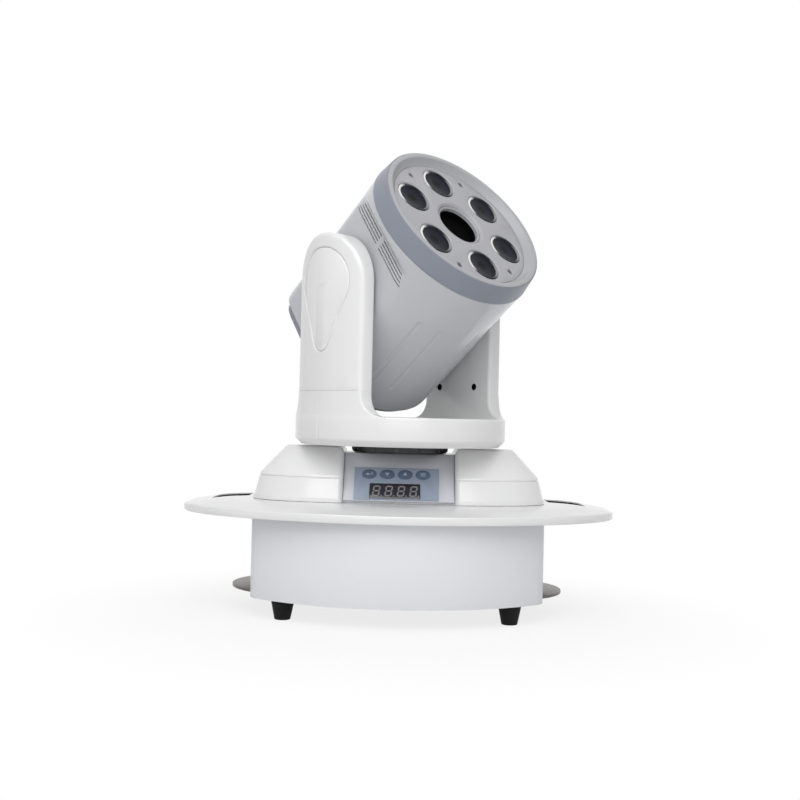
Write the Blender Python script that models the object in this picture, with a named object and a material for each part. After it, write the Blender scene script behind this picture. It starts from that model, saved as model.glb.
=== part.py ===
"""Moving head stage light on a winged base: a yoke that pans and a six-lens head that tilts.

Units are metres and +Z is up. The origin is on the pan axis, at the underside of the base plate.
The yoke is modelled in the frame of its pan axis, with X along the tilt axis. The head is modelled
in the frame of its tilt axis, with X along that axis and Z along the beam.
"""

import math

import bmesh
import bpy
from mathutils import Matrix

MM = 0.001
GAP = 0.3 * MM
PAST = 20 * MM  # how far a cutter runs past what it cuts
SHARP = math.radians(35)

# Pose at rest
PAN_REST = math.radians(41.5)
TILT_REST = math.radians(37.3)

# Base box and plate
WALL = 2 * MM
SKIRT_Z = -4 * MM
PLATE_THICK = 3 * MM
CLAMP_RADIUS = 45 * MM  # face under the plate that a clamp's bracket meets
EAR_STEP_X = 149.4 * MM  # where the ears' raised tops start
BOX_HALF_WIDTH = 147.8 * MM
BOX_FRONT_Y = -105 * MM
BOX_FRONT_RADIUS = 213.6 * MM
BOX_REAR_Y = 100 * MM
EAR_RADIUS = 75 * MM
EAR_CENTRE = (98 * MM, 20 * MM)

# Feet
FOOT_DROP = 23.3 * MM
FOOT_SOLE_RADIUS = 8 * MM
FOOT_TOP_RADIUS = 12.6 * MM
FOOT_X = 113 * MM
FOOT_FRONT_Y = -55 * MM
FOOT_REAR_Y = 72 * MM

# Wing plate: a bowed outline with blunt tips, a rim and a crown
WING_Z = 78 * MM
WING_RIM = 8.5 * MM
WING_CROWN = 7.5 * MM
WING_HALF_WIDTH = 226 * MM
WING_TIP = 224.5 * MM
WING_MIDDLE_Y = 18 * MM  # where the plate is widest
WING_FRONT = 137 * MM
WING_REAR = 122 * MM
WING_FRONT_POWER = 1.83
WING_REAR_POWER = 4.2
PLATEAU = 0.70  # share of the outline inside which the crown is flat
SLOT_SHARE = 0.88  # share of the outline that bounds the finger slot
SLOT_INNER_X = 158 * MM
SLOT_FRONT_Y = 12 * MM
WELL_HALF = (88 * MM, 36 * MM)

# Cover: half width and half depth at each height
COVER_WALL = 3 * MM
COVER_Z = WING_Z + WING_RIM + WING_CROWN + GAP
COVER_STATIONS = (
    (COVER_Z, 151 * MM, 67 * MM),
    (117 * MM, 144.8 * MM, 61.8 * MM),
    (121 * MM, 143.6 * MM, 60.6 * MM),
    (149.2 * MM, 117 * MM, 34 * MM),
)
COVER_POWER = 2.6
CHANNEL_HALF = 56 * MM
CHANNEL_Z = 143 * MM

# Control panel, in its own sloping frame: X right, Y up the slope, Z outwards
PANEL_LEAN = math.radians(35)
PANEL_CENTRE = (0, -43 * MM, 118.75 * MM)
PANEL_HALF_WIDTH = 55.5 * MM
PANEL_BOTTOM = -27 * MM
PANEL_TOP = 29 * MM
PANEL_THICK = 2.5 * MM
OVERLAY_BOX = (-45 * MM, -26 * MM, 40 * MM, 11.5 * MM)
OVERLAY_THICK = 0.6 * MM
DISPLAY_CENTRE = (-4 * MM, -15.8 * MM)
DISPLAY_SIZE = (50.3 * MM, 17.2 * MM, 8 * MM)
BUTTON_NAMES = ("button_menu", "button_down", "button_up", "button_enter")
BUTTON_PITCH = 18 * MM
BUTTON_ROW = (-3 * MM, 3.9 * MM)
BUTTON_HALF = (7.1 * MM, 5.3 * MM)
BUTTON_PROUD = 1.6 * MM
BUTTON_DEPTH = 3 * MM

# Pan drive
PAN_PLATE_Z = 112 * MM
PAN_SHAFT_RADIUS = 15 * MM
PAN_DISC_RADIUS = 49 * MM
PAN_PULLEY_RADIUS = 30 * MM
PAN_PINION_RADIUS = 7.5 * MM
PAN_MOTOR_X = 62 * MM
MOTOR_HALF = 21 * MM
MOTOR_SHAFT_RADIUS = 2.5 * MM
PULLEY_WIDTH = 8 * MM
BELT_THICK = 1.5 * MM

# Yoke
YOKE_Z = 151 * MM
YOKE_RADIUS = 108.1 * MM
DRUM_RADIUS = 109 * MM
YOKE_HALF_DEPTH = 49.8 * MM
YOKE_INNER = 80.1 * MM
YOKE_DRUM_TOP = 180.2 * MM
YOKE_SEAM_Z = 204.7 * MM
YOKE_FILLET = 21 * MM
YOKE_CHAMFER = 6 * MM
YOKE_WALL = 3 * MM
YOKE_EDGE = 4 * MM
TILT_Z = 311.2 * MM
CAP_TOP = (311.2 * MM, 35 * MM)  # height and radius of the upper end
CAP_FOOT = (254.5 * MM, 11 * MM)
ARM_HOLE_Z = 214.4 * MM
ARM_HOLE_Y = 26.6 * MM
ARM_HOLE_RADIUS = 3.2 * MM
FRAME_X = 83.6 * MM
FRAME_THICK = 2.5 * MM
FRAME_HALF = 28 * MM
FRAME_Z = 154.4 * MM
FRAME_TOP = 340 * MM

# Tilt drive
AXLE_RADIUS = 8 * MM
AXLE_BORE = 9 * MM
BEARING_RADIUS = 14 * MM
TILT_PULLEY_RADIUS = 21 * MM
TILT_PINION_RADIUS = 7 * MM
TILT_MOTOR_Z = 245 * MM
TILT_MOTOR_DEPTH = 10 * MM
TILT_BELT_X = 97.4 * MM
TILT_PULLEY_WIDTH = 4.5 * MM

# Head, along the beam from the tilt axis: place, radius, half width over the flats
HEAD_WALL = 3 * MM
BARREL_STATIONS = (
    (-85.5 * MM, 91.0 * MM, 75.5 * MM),
    (-84.0 * MM, 92.5 * MM, 77.0 * MM),
    (-60.0 * MM, 92.5 * MM, 77.0 * MM),
    (20.0 * MM, 92.5 * MM, 77.0 * MM),
    (71.0 * MM, 92.5 * MM, 77.0 * MM),
    (77.5 * MM, 92.6 * MM, 80.5 * MM),
    (83.5 * MM, 92.8 * MM, 87.0 * MM),
    (89.7 * MM, 93.0 * MM, 94.5 * MM),
)
RING_START = 90 * MM
RING_END = 111.4 * MM
RING_RADIUS = 93.3 * MM
RING_FRONT_RADIUS = 90 * MM
LIP_RADIUS = 84 * MM  # inner edge of the ring's lip
FACE_RADIUS = 78 * MM
FACE_TOP = 104.6 * MM
FACE_THICK = 4.3 * MM
LENS_CIRCLE = 55.2 * MM
LENS_COUNT = 6
LENS_RADIUS = 17.9 * MM
APERTURE_RADIUS = 24.6 * MM
FACE_SCREW_CIRCLE = 69.2 * MM
FACE_SCREW_ANGLES = (60, 120, 240, 300)
FACE_SCREW_RADIUS = 2.2 * MM
VENT_PLACES = (58.5 * MM, 62 * MM, 65.5 * MM, 69 * MM)
VENT_WIDTH = 1.8 * MM
VENT_SPAN = (3 * MM, 48 * MM)
GRILLE_SIZE = (-93.7 * MM, 88 * MM, 75.5 * MM)
FAN_HALF = 40 * MM
FAN_BACK = -82 * MM
FAN_DEPTH = 20 * MM
FAN_BLADES = 7
SINK_HALF = (52 * MM, 58 * MM)
SINK_BACK = 30 * MM
SINK_FRONT = 86.2 * MM
SINK_FINS = 8

ALONG_X = Matrix.Rotation(math.radians(90), 4, "Y")
ALONG_Y = Matrix.Rotation(math.radians(-90), 4, "X")
MIRROR_X = Matrix.Scale(-1, 4, (1, 0, 0))

STEPS = 64
FINE_STEPS = 28
SMALL_STEPS = 20


def clear_scene():
    for obj in list(bpy.data.objects):
        bpy.data.objects.remove(obj, do_unlink=True)


def material(name, colour, roughness, metallic=0.0):
    made = bpy.data.materials.new(name)
    made.use_nodes = True
    shader = made.node_tree.nodes["Principled BSDF"]
    shader.inputs["Base Color"].default_value = (*colour, 1)
    shader.inputs["Roughness"].default_value = roughness
    shader.inputs["Metallic"].default_value = metallic
    return made


def empty(name, location, rotation, parent=None):
    made = bpy.data.objects.new(name, None)
    bpy.context.scene.collection.objects.link(made)
    made.location = location
    made.rotation_euler = rotation
    made.parent = parent
    return made


def place(name, bm, finish, parent=None):
    """Makes an object of the mesh, faces outwards, round stretches smooth."""
    bmesh.ops.recalc_face_normals(bm, faces=bm.faces)
    mesh = bpy.data.meshes.new(name)
    bm.to_mesh(mesh)
    bm.free()
    mesh.shade_smooth()
    mesh.set_sharp_from_angle(angle=SHARP)
    if finish:
        mesh.materials.append(finish)
    obj = bpy.data.objects.new(name, mesh)
    bpy.context.scene.collection.objects.link(obj)
    obj.parent = parent
    return obj


def combine(obj, bm, operation="DIFFERENCE"):
    """Cuts, joins or crosses the object with a hidden helper in the same frame."""
    helper = place(f"{obj.name}_helper_{len(obj.modifiers)}", bm, None, obj.parent)
    helper.hide_render = True
    helper.display_type = "WIRE"
    change = obj.modifiers.new(helper.name, "BOOLEAN")
    change.operation = operation
    change.solver = "EXACT"
    change.object = helper
    return helper


def add_loft(bm, rings, closed=False, matrix=None):
    """Skins rings of equal length; a ring of one point is a pole. Open lofts get end faces."""
    made = [[bm.verts.new(point) for point in ring] for ring in rings]
    pairs = list(zip(made, made[1:]))
    if closed:
        pairs.append((made[-1], made[0]))
    for first, second in pairs:
        count = max(len(first), len(second))
        for i in range(count):
            j = (i + 1) % count
            if len(first) == 1:
                bm.faces.new((first[0], second[i], second[j]))
            elif len(second) == 1:
                bm.faces.new((first[i], first[j], second[0]))
            else:
                bm.faces.new((first[i], first[j], second[j], second[i]))
    if not closed:
        for ring in (made[0], made[-1]):
            if len(ring) > 1:
                bm.faces.new(ring)
    verts = [vert for ring in made for vert in ring]
    if matrix:
        bmesh.ops.transform(bm, matrix=matrix, verts=verts)
    return verts


def add_turned(bm, profile, steps, closed=False, matrix=None):
    """Turns (radius, height) points about Z."""
    rings = []
    for radius, height in profile:
        turns = [2 * math.pi * i / steps for i in range(steps)] if radius else [0]
        rings.append([(radius * math.cos(a), radius * math.sin(a), height) for a in turns])
    return add_loft(bm, rings, closed, matrix)


def add_prism(bm, outline, low, high, matrix=None):
    rings = [[(x, y, z) for x, y in outline] for z in (low, high)]
    return add_loft(bm, rings, False, matrix)


def add_sleeve(bm, outer, inner, low, high, matrix=None):
    rings = [[(x, y, z) for x, y in ring] for ring, z in
             ((outer, low), (outer, high), (inner, high), (inner, low))]
    return add_loft(bm, rings, True, matrix)


def add_box(bm, low, high, matrix=None):
    outline = [(low[0], low[1]), (high[0], low[1]), (high[0], high[1]), (low[0], high[1])]
    return add_prism(bm, outline, low[2], high[2], matrix)


def add_tube(bm, inner, outer, low, high, steps, matrix=None):
    profile = [(inner, low), (outer, low), (outer, high), (inner, high)]
    return add_turned(bm, profile, steps, True, matrix)


def add_rod(bm, radius, low, high, steps, matrix=None):
    return add_prism(bm, circle(radius, steps), low, high, matrix)


def circle(radius, steps, centre=(0, 0)):
    turns = [2 * math.pi * i / steps for i in range(steps)]
    return [(centre[0] + radius * math.cos(a), centre[1] + radius * math.sin(a)) for a in turns]


def arc(centre, radius, start, end, steps):
    turns = [start + (end - start) * i / steps for i in range(steps + 1)]
    return [(centre[0] + radius * math.cos(a), centre[1] + radius * math.sin(a)) for a in turns]


def two_circles(first, first_radius, second, second_radius, steps):
    """The outline of a band stretched round two circles."""
    across, along = second[0] - first[0], second[1] - first[1]
    heading = math.atan2(along, across)
    wrap = math.acos((first_radius - second_radius) / math.hypot(across, along))
    return (arc(first, first_radius, heading + wrap, heading + 2 * math.pi - wrap, steps)
            + arc(second, second_radius, heading - wrap, heading + wrap, steps))


def round_upright_edges(bm, width, segments):
    bm.normal_update()
    edges = [edge for edge in bm.edges
             if abs(edge.verts[0].co.z - edge.verts[1].co.z) > width
             and edge.calc_face_angle() > SHARP]
    bmesh.ops.bevel(bm, geom=edges, offset=width, segments=segments, profile=0.5, affect="EDGES")


def bowed(half_width, half_front, half_rear, power_front, power_rear, turn):
    """One point of an outline that is squarer than an ellipse where its power is over 2."""
    c, s = math.cos(turn), math.sin(turn)
    half, power = (half_rear, power_rear) if s > 0 else (half_front, power_front)
    x = math.copysign(abs(c) ** (2 / power), c) * half_width
    y = math.copysign(abs(s) ** (2 / power), s) * half
    return x, y


def box_outline(inset):
    radius = BOX_FRONT_RADIUS - inset
    half = BOX_HALF_WIDTH - inset
    centre = (0, BOX_FRONT_Y + BOX_FRONT_RADIUS)
    sweep = math.asin(half / radius)
    down = -math.pi / 2
    front = arc(centre, radius, down - sweep, down + sweep, 16)
    return front + [(half, BOX_REAR_Y - inset), (-half, BOX_REAR_Y - inset)]


def ear_outline(grow):
    x, y = EAR_CENTRE
    quarter = math.pi / 2
    right = arc((x, y), EAR_RADIUS + grow, -quarter, quarter, 18)
    return right + arc((-x, y), EAR_RADIUS + grow, quarter, 3 * quarter, 18)


def wing_outline(share):
    points = []
    for i in range(STEPS):
        turn = 2 * math.pi * i / STEPS
        x, y = bowed(WING_HALF_WIDTH, WING_FRONT, WING_REAR, WING_FRONT_POWER, WING_REAR_POWER, turn)
        points.append((share * max(-WING_TIP, min(WING_TIP, x)), share * (WING_MIDDLE_Y + y)))
    return points


def slot_outline(side):
    """The finger slot: its outer edge follows the wing's outline, its inner edge is straight."""
    end = math.acos((SLOT_INNER_X / (WING_HALF_WIDTH * SLOT_SHARE)) ** (WING_REAR_POWER / 2))
    points = [(SLOT_SHARE * WING_TIP, SLOT_FRONT_Y)]
    for i in range(1, 13):
        x, y = bowed(WING_HALF_WIDTH, WING_FRONT, WING_REAR, WING_FRONT_POWER, WING_REAR_POWER, end * i / 12)
        if x < WING_TIP:
            points.append((SLOT_SHARE * x, SLOT_SHARE * (WING_MIDDLE_Y + y)))
    points.append((SLOT_INNER_X, SLOT_FRONT_Y))
    return [(side * x, y) for x, y in points]


def ellipse(half, centre, grow, steps):
    return [(centre[0] + x * (half[0] + grow), centre[1] + y * (half[1] + grow))
            for x, y in circle(1, steps)]


def button_centres():
    first = -(len(BUTTON_NAMES) - 1) / 2
    return [(BUTTON_ROW[0] + (first + i) * BUTTON_PITCH, BUTTON_ROW[1]) for i in range(len(BUTTON_NAMES))]


def make_box_and_plate(looks):
    bm = bmesh.new()
    add_sleeve(bm, box_outline(0), box_outline(WALL), SKIRT_Z, WING_Z - GAP)
    box = place("base_box", bm, looks["white_metal"])
    bm = bmesh.new()
    add_prism(bm, ear_outline(0.5 * MM), SKIRT_Z - PAST, PLATE_THICK + 0.5 * MM)
    combine(box, bm)
    bm = bmesh.new()
    for _, centre, half, _ in socket_places():
        add_box(bm, (centre[0] - half[0] - GAP, BOX_REAR_Y - PAST, centre[1] - half[1] - GAP),
                (centre[0] + half[0] + GAP, BOX_REAR_Y + PAST, centre[1] + half[1] + GAP))
    combine(box, bm)

    bm = bmesh.new()
    add_prism(bm, box_outline(WALL + 0.4 * MM), 0, PLATE_THICK)
    plate = place("base_plate", bm, looks["steel"])
    bm = bmesh.new()
    add_prism(bm, ear_outline(0), 0, PLATE_THICK)
    combine(plate, bm, "UNION")
    bm = bmesh.new()
    add_tube(bm, CLAMP_RADIUS, CLAMP_RADIUS + 2 * MM, -PAST, 0.8 * MM, 2 * SMALL_STEPS)
    add_box(bm, (-EAR_STEP_X, -BOX_HALF_WIDTH, PLATE_THICK - 0.4 * MM),
            (EAR_STEP_X, BOX_HALF_WIDTH, PLATE_THICK + PAST))
    combine(plate, bm)


def make_feet(looks):
    profile = [(0, -FOOT_DROP), (FOOT_SOLE_RADIUS, -FOOT_DROP), (FOOT_TOP_RADIUS, -GAP), (0, -GAP)]
    for end, y in (("front", FOOT_FRONT_Y), ("rear", FOOT_REAR_Y)):
        for side, x in (("left", -FOOT_X), ("right", FOOT_X)):
            bm = bmesh.new()
            add_turned(bm, profile, FINE_STEPS)
            place(f"foot_{end}_{side}", bm, looks["rubber"]).location = (x, y, 0)


def make_wing(looks):
    rim_top = WING_Z + WING_RIM
    edge = 1.5 * MM
    rings = [(0.99, WING_Z), (1, WING_Z + edge), (1, rim_top - edge)]
    crown_steps = 4
    for i in range(crown_steps + 1):
        rise = i / crown_steps
        share = 0.988 + (PLATEAU - 0.988) * rise
        rings.append((share, rim_top + WING_CROWN * math.sin(rise * math.pi / 2)))
    bm = bmesh.new()
    add_loft(bm, [[(x, y, z) for x, y in wing_outline(share)] for share, z in rings])
    wing = place("wing_plate", bm, looks["white"])
    for side in (-1, 1):
        bm = bmesh.new()
        add_prism(bm, slot_outline(side), WING_Z - PAST, rim_top + PAST)
        round_upright_edges(bm, 7 * MM, 3)
        combine(wing, bm)
    bm = bmesh.new()
    add_box(bm, (-WELL_HALF[0], -WELL_HALF[1], WING_Z - PAST), (*WELL_HALF, rim_top + PAST))
    combine(wing, bm)


def cover_rings(inset, drop):
    rings = []
    for z, half_width, half_depth in COVER_STATIONS:
        outline = [bowed(half_width - inset, half_depth - inset, half_depth - inset,
                         COVER_POWER, COVER_POWER, 2 * math.pi * i / STEPS) for i in range(STEPS)]
        height = z - drop if z == COVER_Z else z - inset
        rings.append([(x, y, height) for x, y in outline])
    return rings


def make_cover(looks, panel_frame):
    """A hollow cover: the lobes, less the channel between them and the slope for the panel."""
    slope = panel_frame.matrix_basis
    past = 5 * PAST
    bm = bmesh.new()
    add_loft(bm, cover_rings(0, 0))
    cover = place("base_cover", bm, looks["white"])
    bm = bmesh.new()
    add_box(bm, (-CHANNEL_HALF, -past, CHANNEL_Z), (CHANNEL_HALF, past, CHANNEL_Z + past))
    combine(cover, bm)
    seat = -PANEL_THICK - GAP
    bm = bmesh.new()
    add_box(bm, (-PANEL_HALF_WIDTH - GAP, -past, seat), (PANEL_HALF_WIDTH + GAP, past, past), slope)
    combine(cover, bm)

    bm = bmesh.new()
    add_loft(bm, cover_rings(COVER_WALL, PAST))
    hollow = combine(cover, bm)
    bm = bmesh.new()
    half = CHANNEL_HALF + COVER_WALL
    add_box(bm, (-half, -past, CHANNEL_Z - COVER_WALL), (half, past, CHANNEL_Z + past))
    combine(hollow, bm)
    bm = bmesh.new()
    half = PANEL_HALF_WIDTH + GAP + COVER_WALL
    add_box(bm, (-half, -2 * past, seat - COVER_WALL), (half, past, past), slope)
    combine(hollow, bm)

    bm = bmesh.new()
    add_box(bm, (-48 * MM, -25 * MM, seat - 2 * COVER_WALL), (48 * MM, 20 * MM, past), slope)
    combine(cover, bm)
    bm = bmesh.new()
    add_rod(bm, PAN_SHAFT_RADIUS + 3 * MM, CHANNEL_Z - PAST, CHANNEL_Z + PAST, FINE_STEPS)
    combine(cover, bm)


def panel_openings(bm, low, high):
    """The holes for the display and the buttons, in the panel's frame."""
    half = [side / 2 + GAP for side in DISPLAY_SIZE]
    x, y = DISPLAY_CENTRE
    add_box(bm, (x - half[0], y - half[1], low), (x + half[0], y + half[1], high))
    for centre in button_centres():
        add_prism(bm, ellipse(BUTTON_HALF, centre, GAP, SMALL_STEPS), low, high)


def make_panel(looks, panel_frame):
    bm = bmesh.new()
    add_box(bm, (-PANEL_HALF_WIDTH, PANEL_BOTTOM, -PANEL_THICK), (PANEL_HALF_WIDTH, PANEL_TOP, 0))
    panel = place("control_panel", bm, looks["panel_grey"], panel_frame)
    left, bottom, right, top = OVERLAY_BOX
    bm = bmesh.new()
    add_box(bm, (left, bottom, GAP), (right, top, GAP + OVERLAY_THICK))
    overlay = place("panel_overlay", bm, looks["overlay_blue"], panel_frame)
    for piece in (panel, overlay):
        bm = bmesh.new()
        panel_openings(bm, -PAST, PAST)
        combine(piece, bm)
    half = [side / 2 for side in DISPLAY_SIZE]
    x, y = DISPLAY_CENTRE
    face = GAP + OVERLAY_THICK
    bm = bmesh.new()
    add_box(bm, (x - half[0], y - half[1], face - DISPLAY_SIZE[2]), (x + half[0], y + half[1], face))
    place("display_module", bm, looks["black"], panel_frame)
    for name, centre in zip(BUTTON_NAMES, button_centres()):
        bm = bmesh.new()
        add_prism(bm, ellipse(BUTTON_HALF, centre, 0, SMALL_STEPS), -BUTTON_DEPTH, BUTTON_PROUD)
        place(name, bm, looks["button_blue"], panel_frame)


def socket_places():
    """Name, centre in X and Z, half size through the wall, and half size of the flange."""
    return (
        ("power_inlet", (-68 * MM, 40 * MM), (13.5 * MM, 10 * MM), (25 * MM, 14 * MM)),
        ("dmx_in", (18 * MM, 40 * MM), (11.5 * MM, 11.5 * MM), (13 * MM, 15.5 * MM)),
        ("dmx_out", (62 * MM, 40 * MM), (11.5 * MM, 11.5 * MM), (13 * MM, 15.5 * MM)),
    )


def make_sockets(looks):
    """Rear sockets: a body through the wall with a flange outside it."""
    back = BOX_REAR_Y - 18 * MM
    front = BOX_REAR_Y + GAP + 2.5 * MM
    for name, (x, z), half, flange in socket_places():
        bm = bmesh.new()
        add_box(bm, (x - half[0], back, z - half[1]), (x + half[0], front - 1 * MM, z + half[1]))
        socket = place(name, bm, looks["black"])
        bm = bmesh.new()
        add_box(bm, (x - flange[0], BOX_REAR_Y + GAP, z - flange[1]), (x + flange[0], front, z + flange[1]))
        combine(socket, bm, "UNION")
        where = Matrix.Translation((x, 0, z)) @ ALONG_Y
        bm = bmesh.new()
        if name == "dmx_out":
            for centre in circle(4.2 * MM, 3):
                add_prism(bm, circle(1.6 * MM, 6, centre), front - 9 * MM, front + PAST, where)
            combine(socket, bm)
            continue
        if name == "dmx_in":
            add_rod(bm, 9 * MM, front - 14 * MM, front + PAST, SMALL_STEPS, where)
            pins = circle(4.2 * MM, 3)
        else:
            add_box(bm, (x - 11 * MM, front - 14 * MM, z - 7.5 * MM), (x + 11 * MM, front + PAST, z + 7.5 * MM))
            pins = [(-6.5 * MM, 2 * MM), (0, -2 * MM), (6.5 * MM, 2 * MM)]
        combine(socket, bm)
        bm = bmesh.new()
        for centre in pins:
            add_prism(bm, circle(1.3 * MM, 6, centre), front - 16 * MM, front - 5 * MM, where)
        combine(socket, bm, "UNION")


def make_base_insides(looks):
    floor = PLATE_THICK + GAP
    bm = bmesh.new()
    add_box(bm, (-120 * MM, -40 * MM, floor), (-20 * MM, 45 * MM, 41 * MM))
    place("power_supply", bm, looks["steel"])

    bm = bmesh.new()
    add_box(bm, (15 * MM, -45 * MM, 10 * MM), (110 * MM, 45 * MM, 11.6 * MM))
    board = place("control_board", bm, looks["board_green"])
    bm = bmesh.new()
    for x in (22 * MM, 103 * MM):
        for y in (-38 * MM, 38 * MM):
            add_prism(bm, circle(3 * MM, 8, (x, y)), floor, 10.5 * MM)
    add_box(bm, (50 * MM, -15 * MM, 11 * MM), (75 * MM, 10 * MM, 14 * MM))
    combine(board, bm, "UNION")


def make_pan_drive(looks, pan_axis):
    """Bracket over the well in the wing, bearing and motor under it, pulleys and belt above it."""
    top = PAN_PLATE_Z + 3 * MM
    leg_out, leg_in, half = 98 * MM, 95 * MM, 30 * MM
    profile = [(-leg_out, COVER_Z), (-leg_in, COVER_Z), (-leg_in, PAN_PLATE_Z), (leg_in, PAN_PLATE_Z),
               (leg_in, COVER_Z), (leg_out, COVER_Z), (leg_out, top), (-leg_out, top)]
    bm = bmesh.new()
    add_loft(bm, [[(x, y, z) for x, z in profile] for y in (-half, half)])
    bracket = place("pan_bracket", bm, looks["steel"])
    bm = bmesh.new()
    add_rod(bm, PAN_SHAFT_RADIUS + 1.5 * MM, COVER_Z, top + PAST, FINE_STEPS)
    add_prism(bm, circle(5 * MM, SMALL_STEPS, (PAN_MOTOR_X, 0)), COVER_Z, top + PAST)
    combine(bracket, bm)

    under = PAN_PLATE_Z - GAP
    bm = bmesh.new()
    add_tube(bm, PAN_SHAFT_RADIUS + GAP, 24 * MM, under - 8 * MM, under, FINE_STEPS)
    place("pan_bearing", bm, looks["steel"])

    place_motor = Matrix.Translation((PAN_MOTOR_X, 0, 0))
    belt_low = top + 2 * MM
    belt_high = belt_low + PULLEY_WIDTH
    bm = bmesh.new()
    add_box(bm, (-MOTOR_HALF, -MOTOR_HALF, under - 38 * MM), (MOTOR_HALF, MOTOR_HALF, under), place_motor)
    motor = place("pan_motor", bm, looks["black"])
    bm = bmesh.new()
    add_rod(bm, MOTOR_SHAFT_RADIUS, under - 5 * MM, belt_high, SMALL_STEPS, place_motor)
    combine(motor, bm, "UNION")

    bm = bmesh.new()
    add_tube(bm, MOTOR_SHAFT_RADIUS + GAP, PAN_PINION_RADIUS, belt_low, belt_high, SMALL_STEPS)
    place("pan_drive_pulley", bm, looks["aluminium"]).location = (PAN_MOTOR_X, 0, 0)

    ends = ((0, 0), PAN_PULLEY_RADIUS, (PAN_MOTOR_X, 0), PAN_PINION_RADIUS)
    bm = bmesh.new()
    add_belt(bm, ends, belt_low + 1 * MM, belt_high - 1 * MM)
    place("pan_belt", bm, looks["rubber"])

    bm = bmesh.new()
    add_tube(bm, PAN_SHAFT_RADIUS + GAP, PAN_PULLEY_RADIUS, belt_low, belt_high, 2 * SMALL_STEPS)
    place("pan_pulley", bm, looks["aluminium"], pan_axis)
    bm = bmesh.new()
    add_tube(bm, PAN_SHAFT_RADIUS - 4 * MM, PAN_SHAFT_RADIUS, 98 * MM, FRAME_Z - GAP, FINE_STEPS)
    place("pan_shaft", bm, looks["steel"], pan_axis)
    bm = bmesh.new()
    add_tube(bm, PAN_SHAFT_RADIUS + GAP, PAN_DISC_RADIUS, CHANNEL_Z + 2 * GAP, YOKE_Z - GAP, 2 * SMALL_STEPS)
    place("pan_disc", bm, looks["black"], pan_axis)


def add_belt(bm, ends, low, high, matrix=None):
    first, first_radius, second, second_radius = ends
    loops = [two_circles(first, first_radius + grow, second, second_radius + grow, 14)
             for grow in (GAP + BELT_THICK, GAP)]
    add_sleeve(bm, *loops, low, high, matrix)


def arm_plan(half, inset, height):
    """A level cut through an arm at +X: inner face, rounded corners, outer face on the yoke's round."""
    radius, inner = YOKE_RADIUS - inset, YOKE_INNER + inset
    edge = min(YOKE_EDGE - inset, 0.45 * (math.sqrt(radius ** 2 - half ** 2) - inner))
    lean = math.asin((half - edge) / (radius - edge))
    tip = ((radius - edge) * math.cos(lean), half - edge)
    upper = (arc(tip, edge, lean, math.pi / 2, 2)
             + arc((inner + edge, half - edge), edge, math.pi / 2, math.pi, 2))
    outer = arc((0, 0), radius, -lean, lean, 21)[1:-1]
    plan = outer + upper + [(x, -y) for x, y in reversed(upper)]
    return [(x, y, height) for x, y in plan]


def add_stub(bm, turn):
    """The foot of an arm: it widens into the drum's top through a fillet on both sides."""
    foot = YOKE_DRUM_TOP - 0.2 * MM
    rings = [arm_plan(YOKE_HALF_DEPTH + YOKE_FILLET, 0, foot - 2 * MM)]
    for i in range(7):
        lean = math.pi / 12 * i
        rings.append(arm_plan(YOKE_HALF_DEPTH + YOKE_FILLET * (1 - math.sin(lean)), 0,
                              foot + YOKE_FILLET * (1 - math.cos(lean))))
    rings.append(arm_plan(YOKE_HALF_DEPTH, 0, YOKE_SEAM_Z))
    add_loft(bm, rings, False, turn)


def drum_profile(inset):
    """Chamfered foot, upright wall, small chamfer at the top."""
    radius, low, high = DRUM_RADIUS - inset, YOKE_Z + inset, YOKE_DRUM_TOP - inset
    return [(radius - YOKE_CHAMFER, low), (radius, low + YOKE_CHAMFER),
            (radius, high - 2 * MM), (radius - 2 * MM, high)]


def make_yoke_base(looks, pan_axis):
    """The drum under the arms, in two halves that meet at an upright seam."""
    reach = DRUM_RADIUS + PAST
    for name, side in (("yoke_base_front", -1), ("yoke_base_rear", 1)):
        bm = bmesh.new()
        add_turned(bm, drum_profile(0), 2 * STEPS, False, Matrix.Rotation(math.pi / (2 * STEPS), 4, "Z"))
        half = place(name, bm, looks["white"], pan_axis)
        for turn in (Matrix.Identity(4), MIRROR_X):
            bm = bmesh.new()
            add_stub(bm, turn)
            combine(half, bm, "UNION")
        bm = bmesh.new()
        add_turned(bm, drum_profile(YOKE_WALL), STEPS, False, Matrix.Rotation(math.pi / STEPS, 4, "Z"))
        combine(half, bm)
        for turn in (Matrix.Identity(4), MIRROR_X):
            bm = bmesh.new()
            add_loft(bm, [arm_plan(YOKE_HALF_DEPTH - YOKE_WALL, YOKE_WALL, height)
                          for height in (YOKE_DRUM_TOP - 2 * YOKE_WALL, YOKE_SEAM_Z + PAST)], False, turn)
            combine(half, bm)
        bm = bmesh.new()
        add_rod(bm, PAN_SHAFT_RADIUS + 1 * MM, YOKE_Z - PAST, YOKE_Z + PAST, FINE_STEPS)
        combine(half, bm)
        ys = sorted((side * 0.15 * MM, side * reach))
        bm = bmesh.new()
        add_box(bm, (-reach, ys[0], YOKE_Z - PAST), (reach, ys[1], YOKE_SEAM_Z + PAST))
        combine(half, bm, "INTERSECT")


def arm_columns(inset, low):
    """Upright columns of an arm at +X: depth, lowest, highest, inner and outer X."""
    half = YOKE_HALF_DEPTH - inset
    columns = []
    count = 16
    for i in range(count + 1):
        lean = math.pi * (i / count - 0.5)
        y = half * math.sin(lean)
        outer = math.sqrt((YOKE_RADIUS - inset) ** 2 - y ** 2)
        columns.append((y, low, TILT_Z + half * math.cos(lean), YOKE_INNER + inset, outer))
    return columns


def add_slab(bm, columns):
    rings = []
    for y, low, high, inner, outer in columns:
        rings.append([(inner, y, low), (outer, y, low), (outer, y, high), (inner, y, high)])
    return add_loft(bm, rings)


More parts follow.
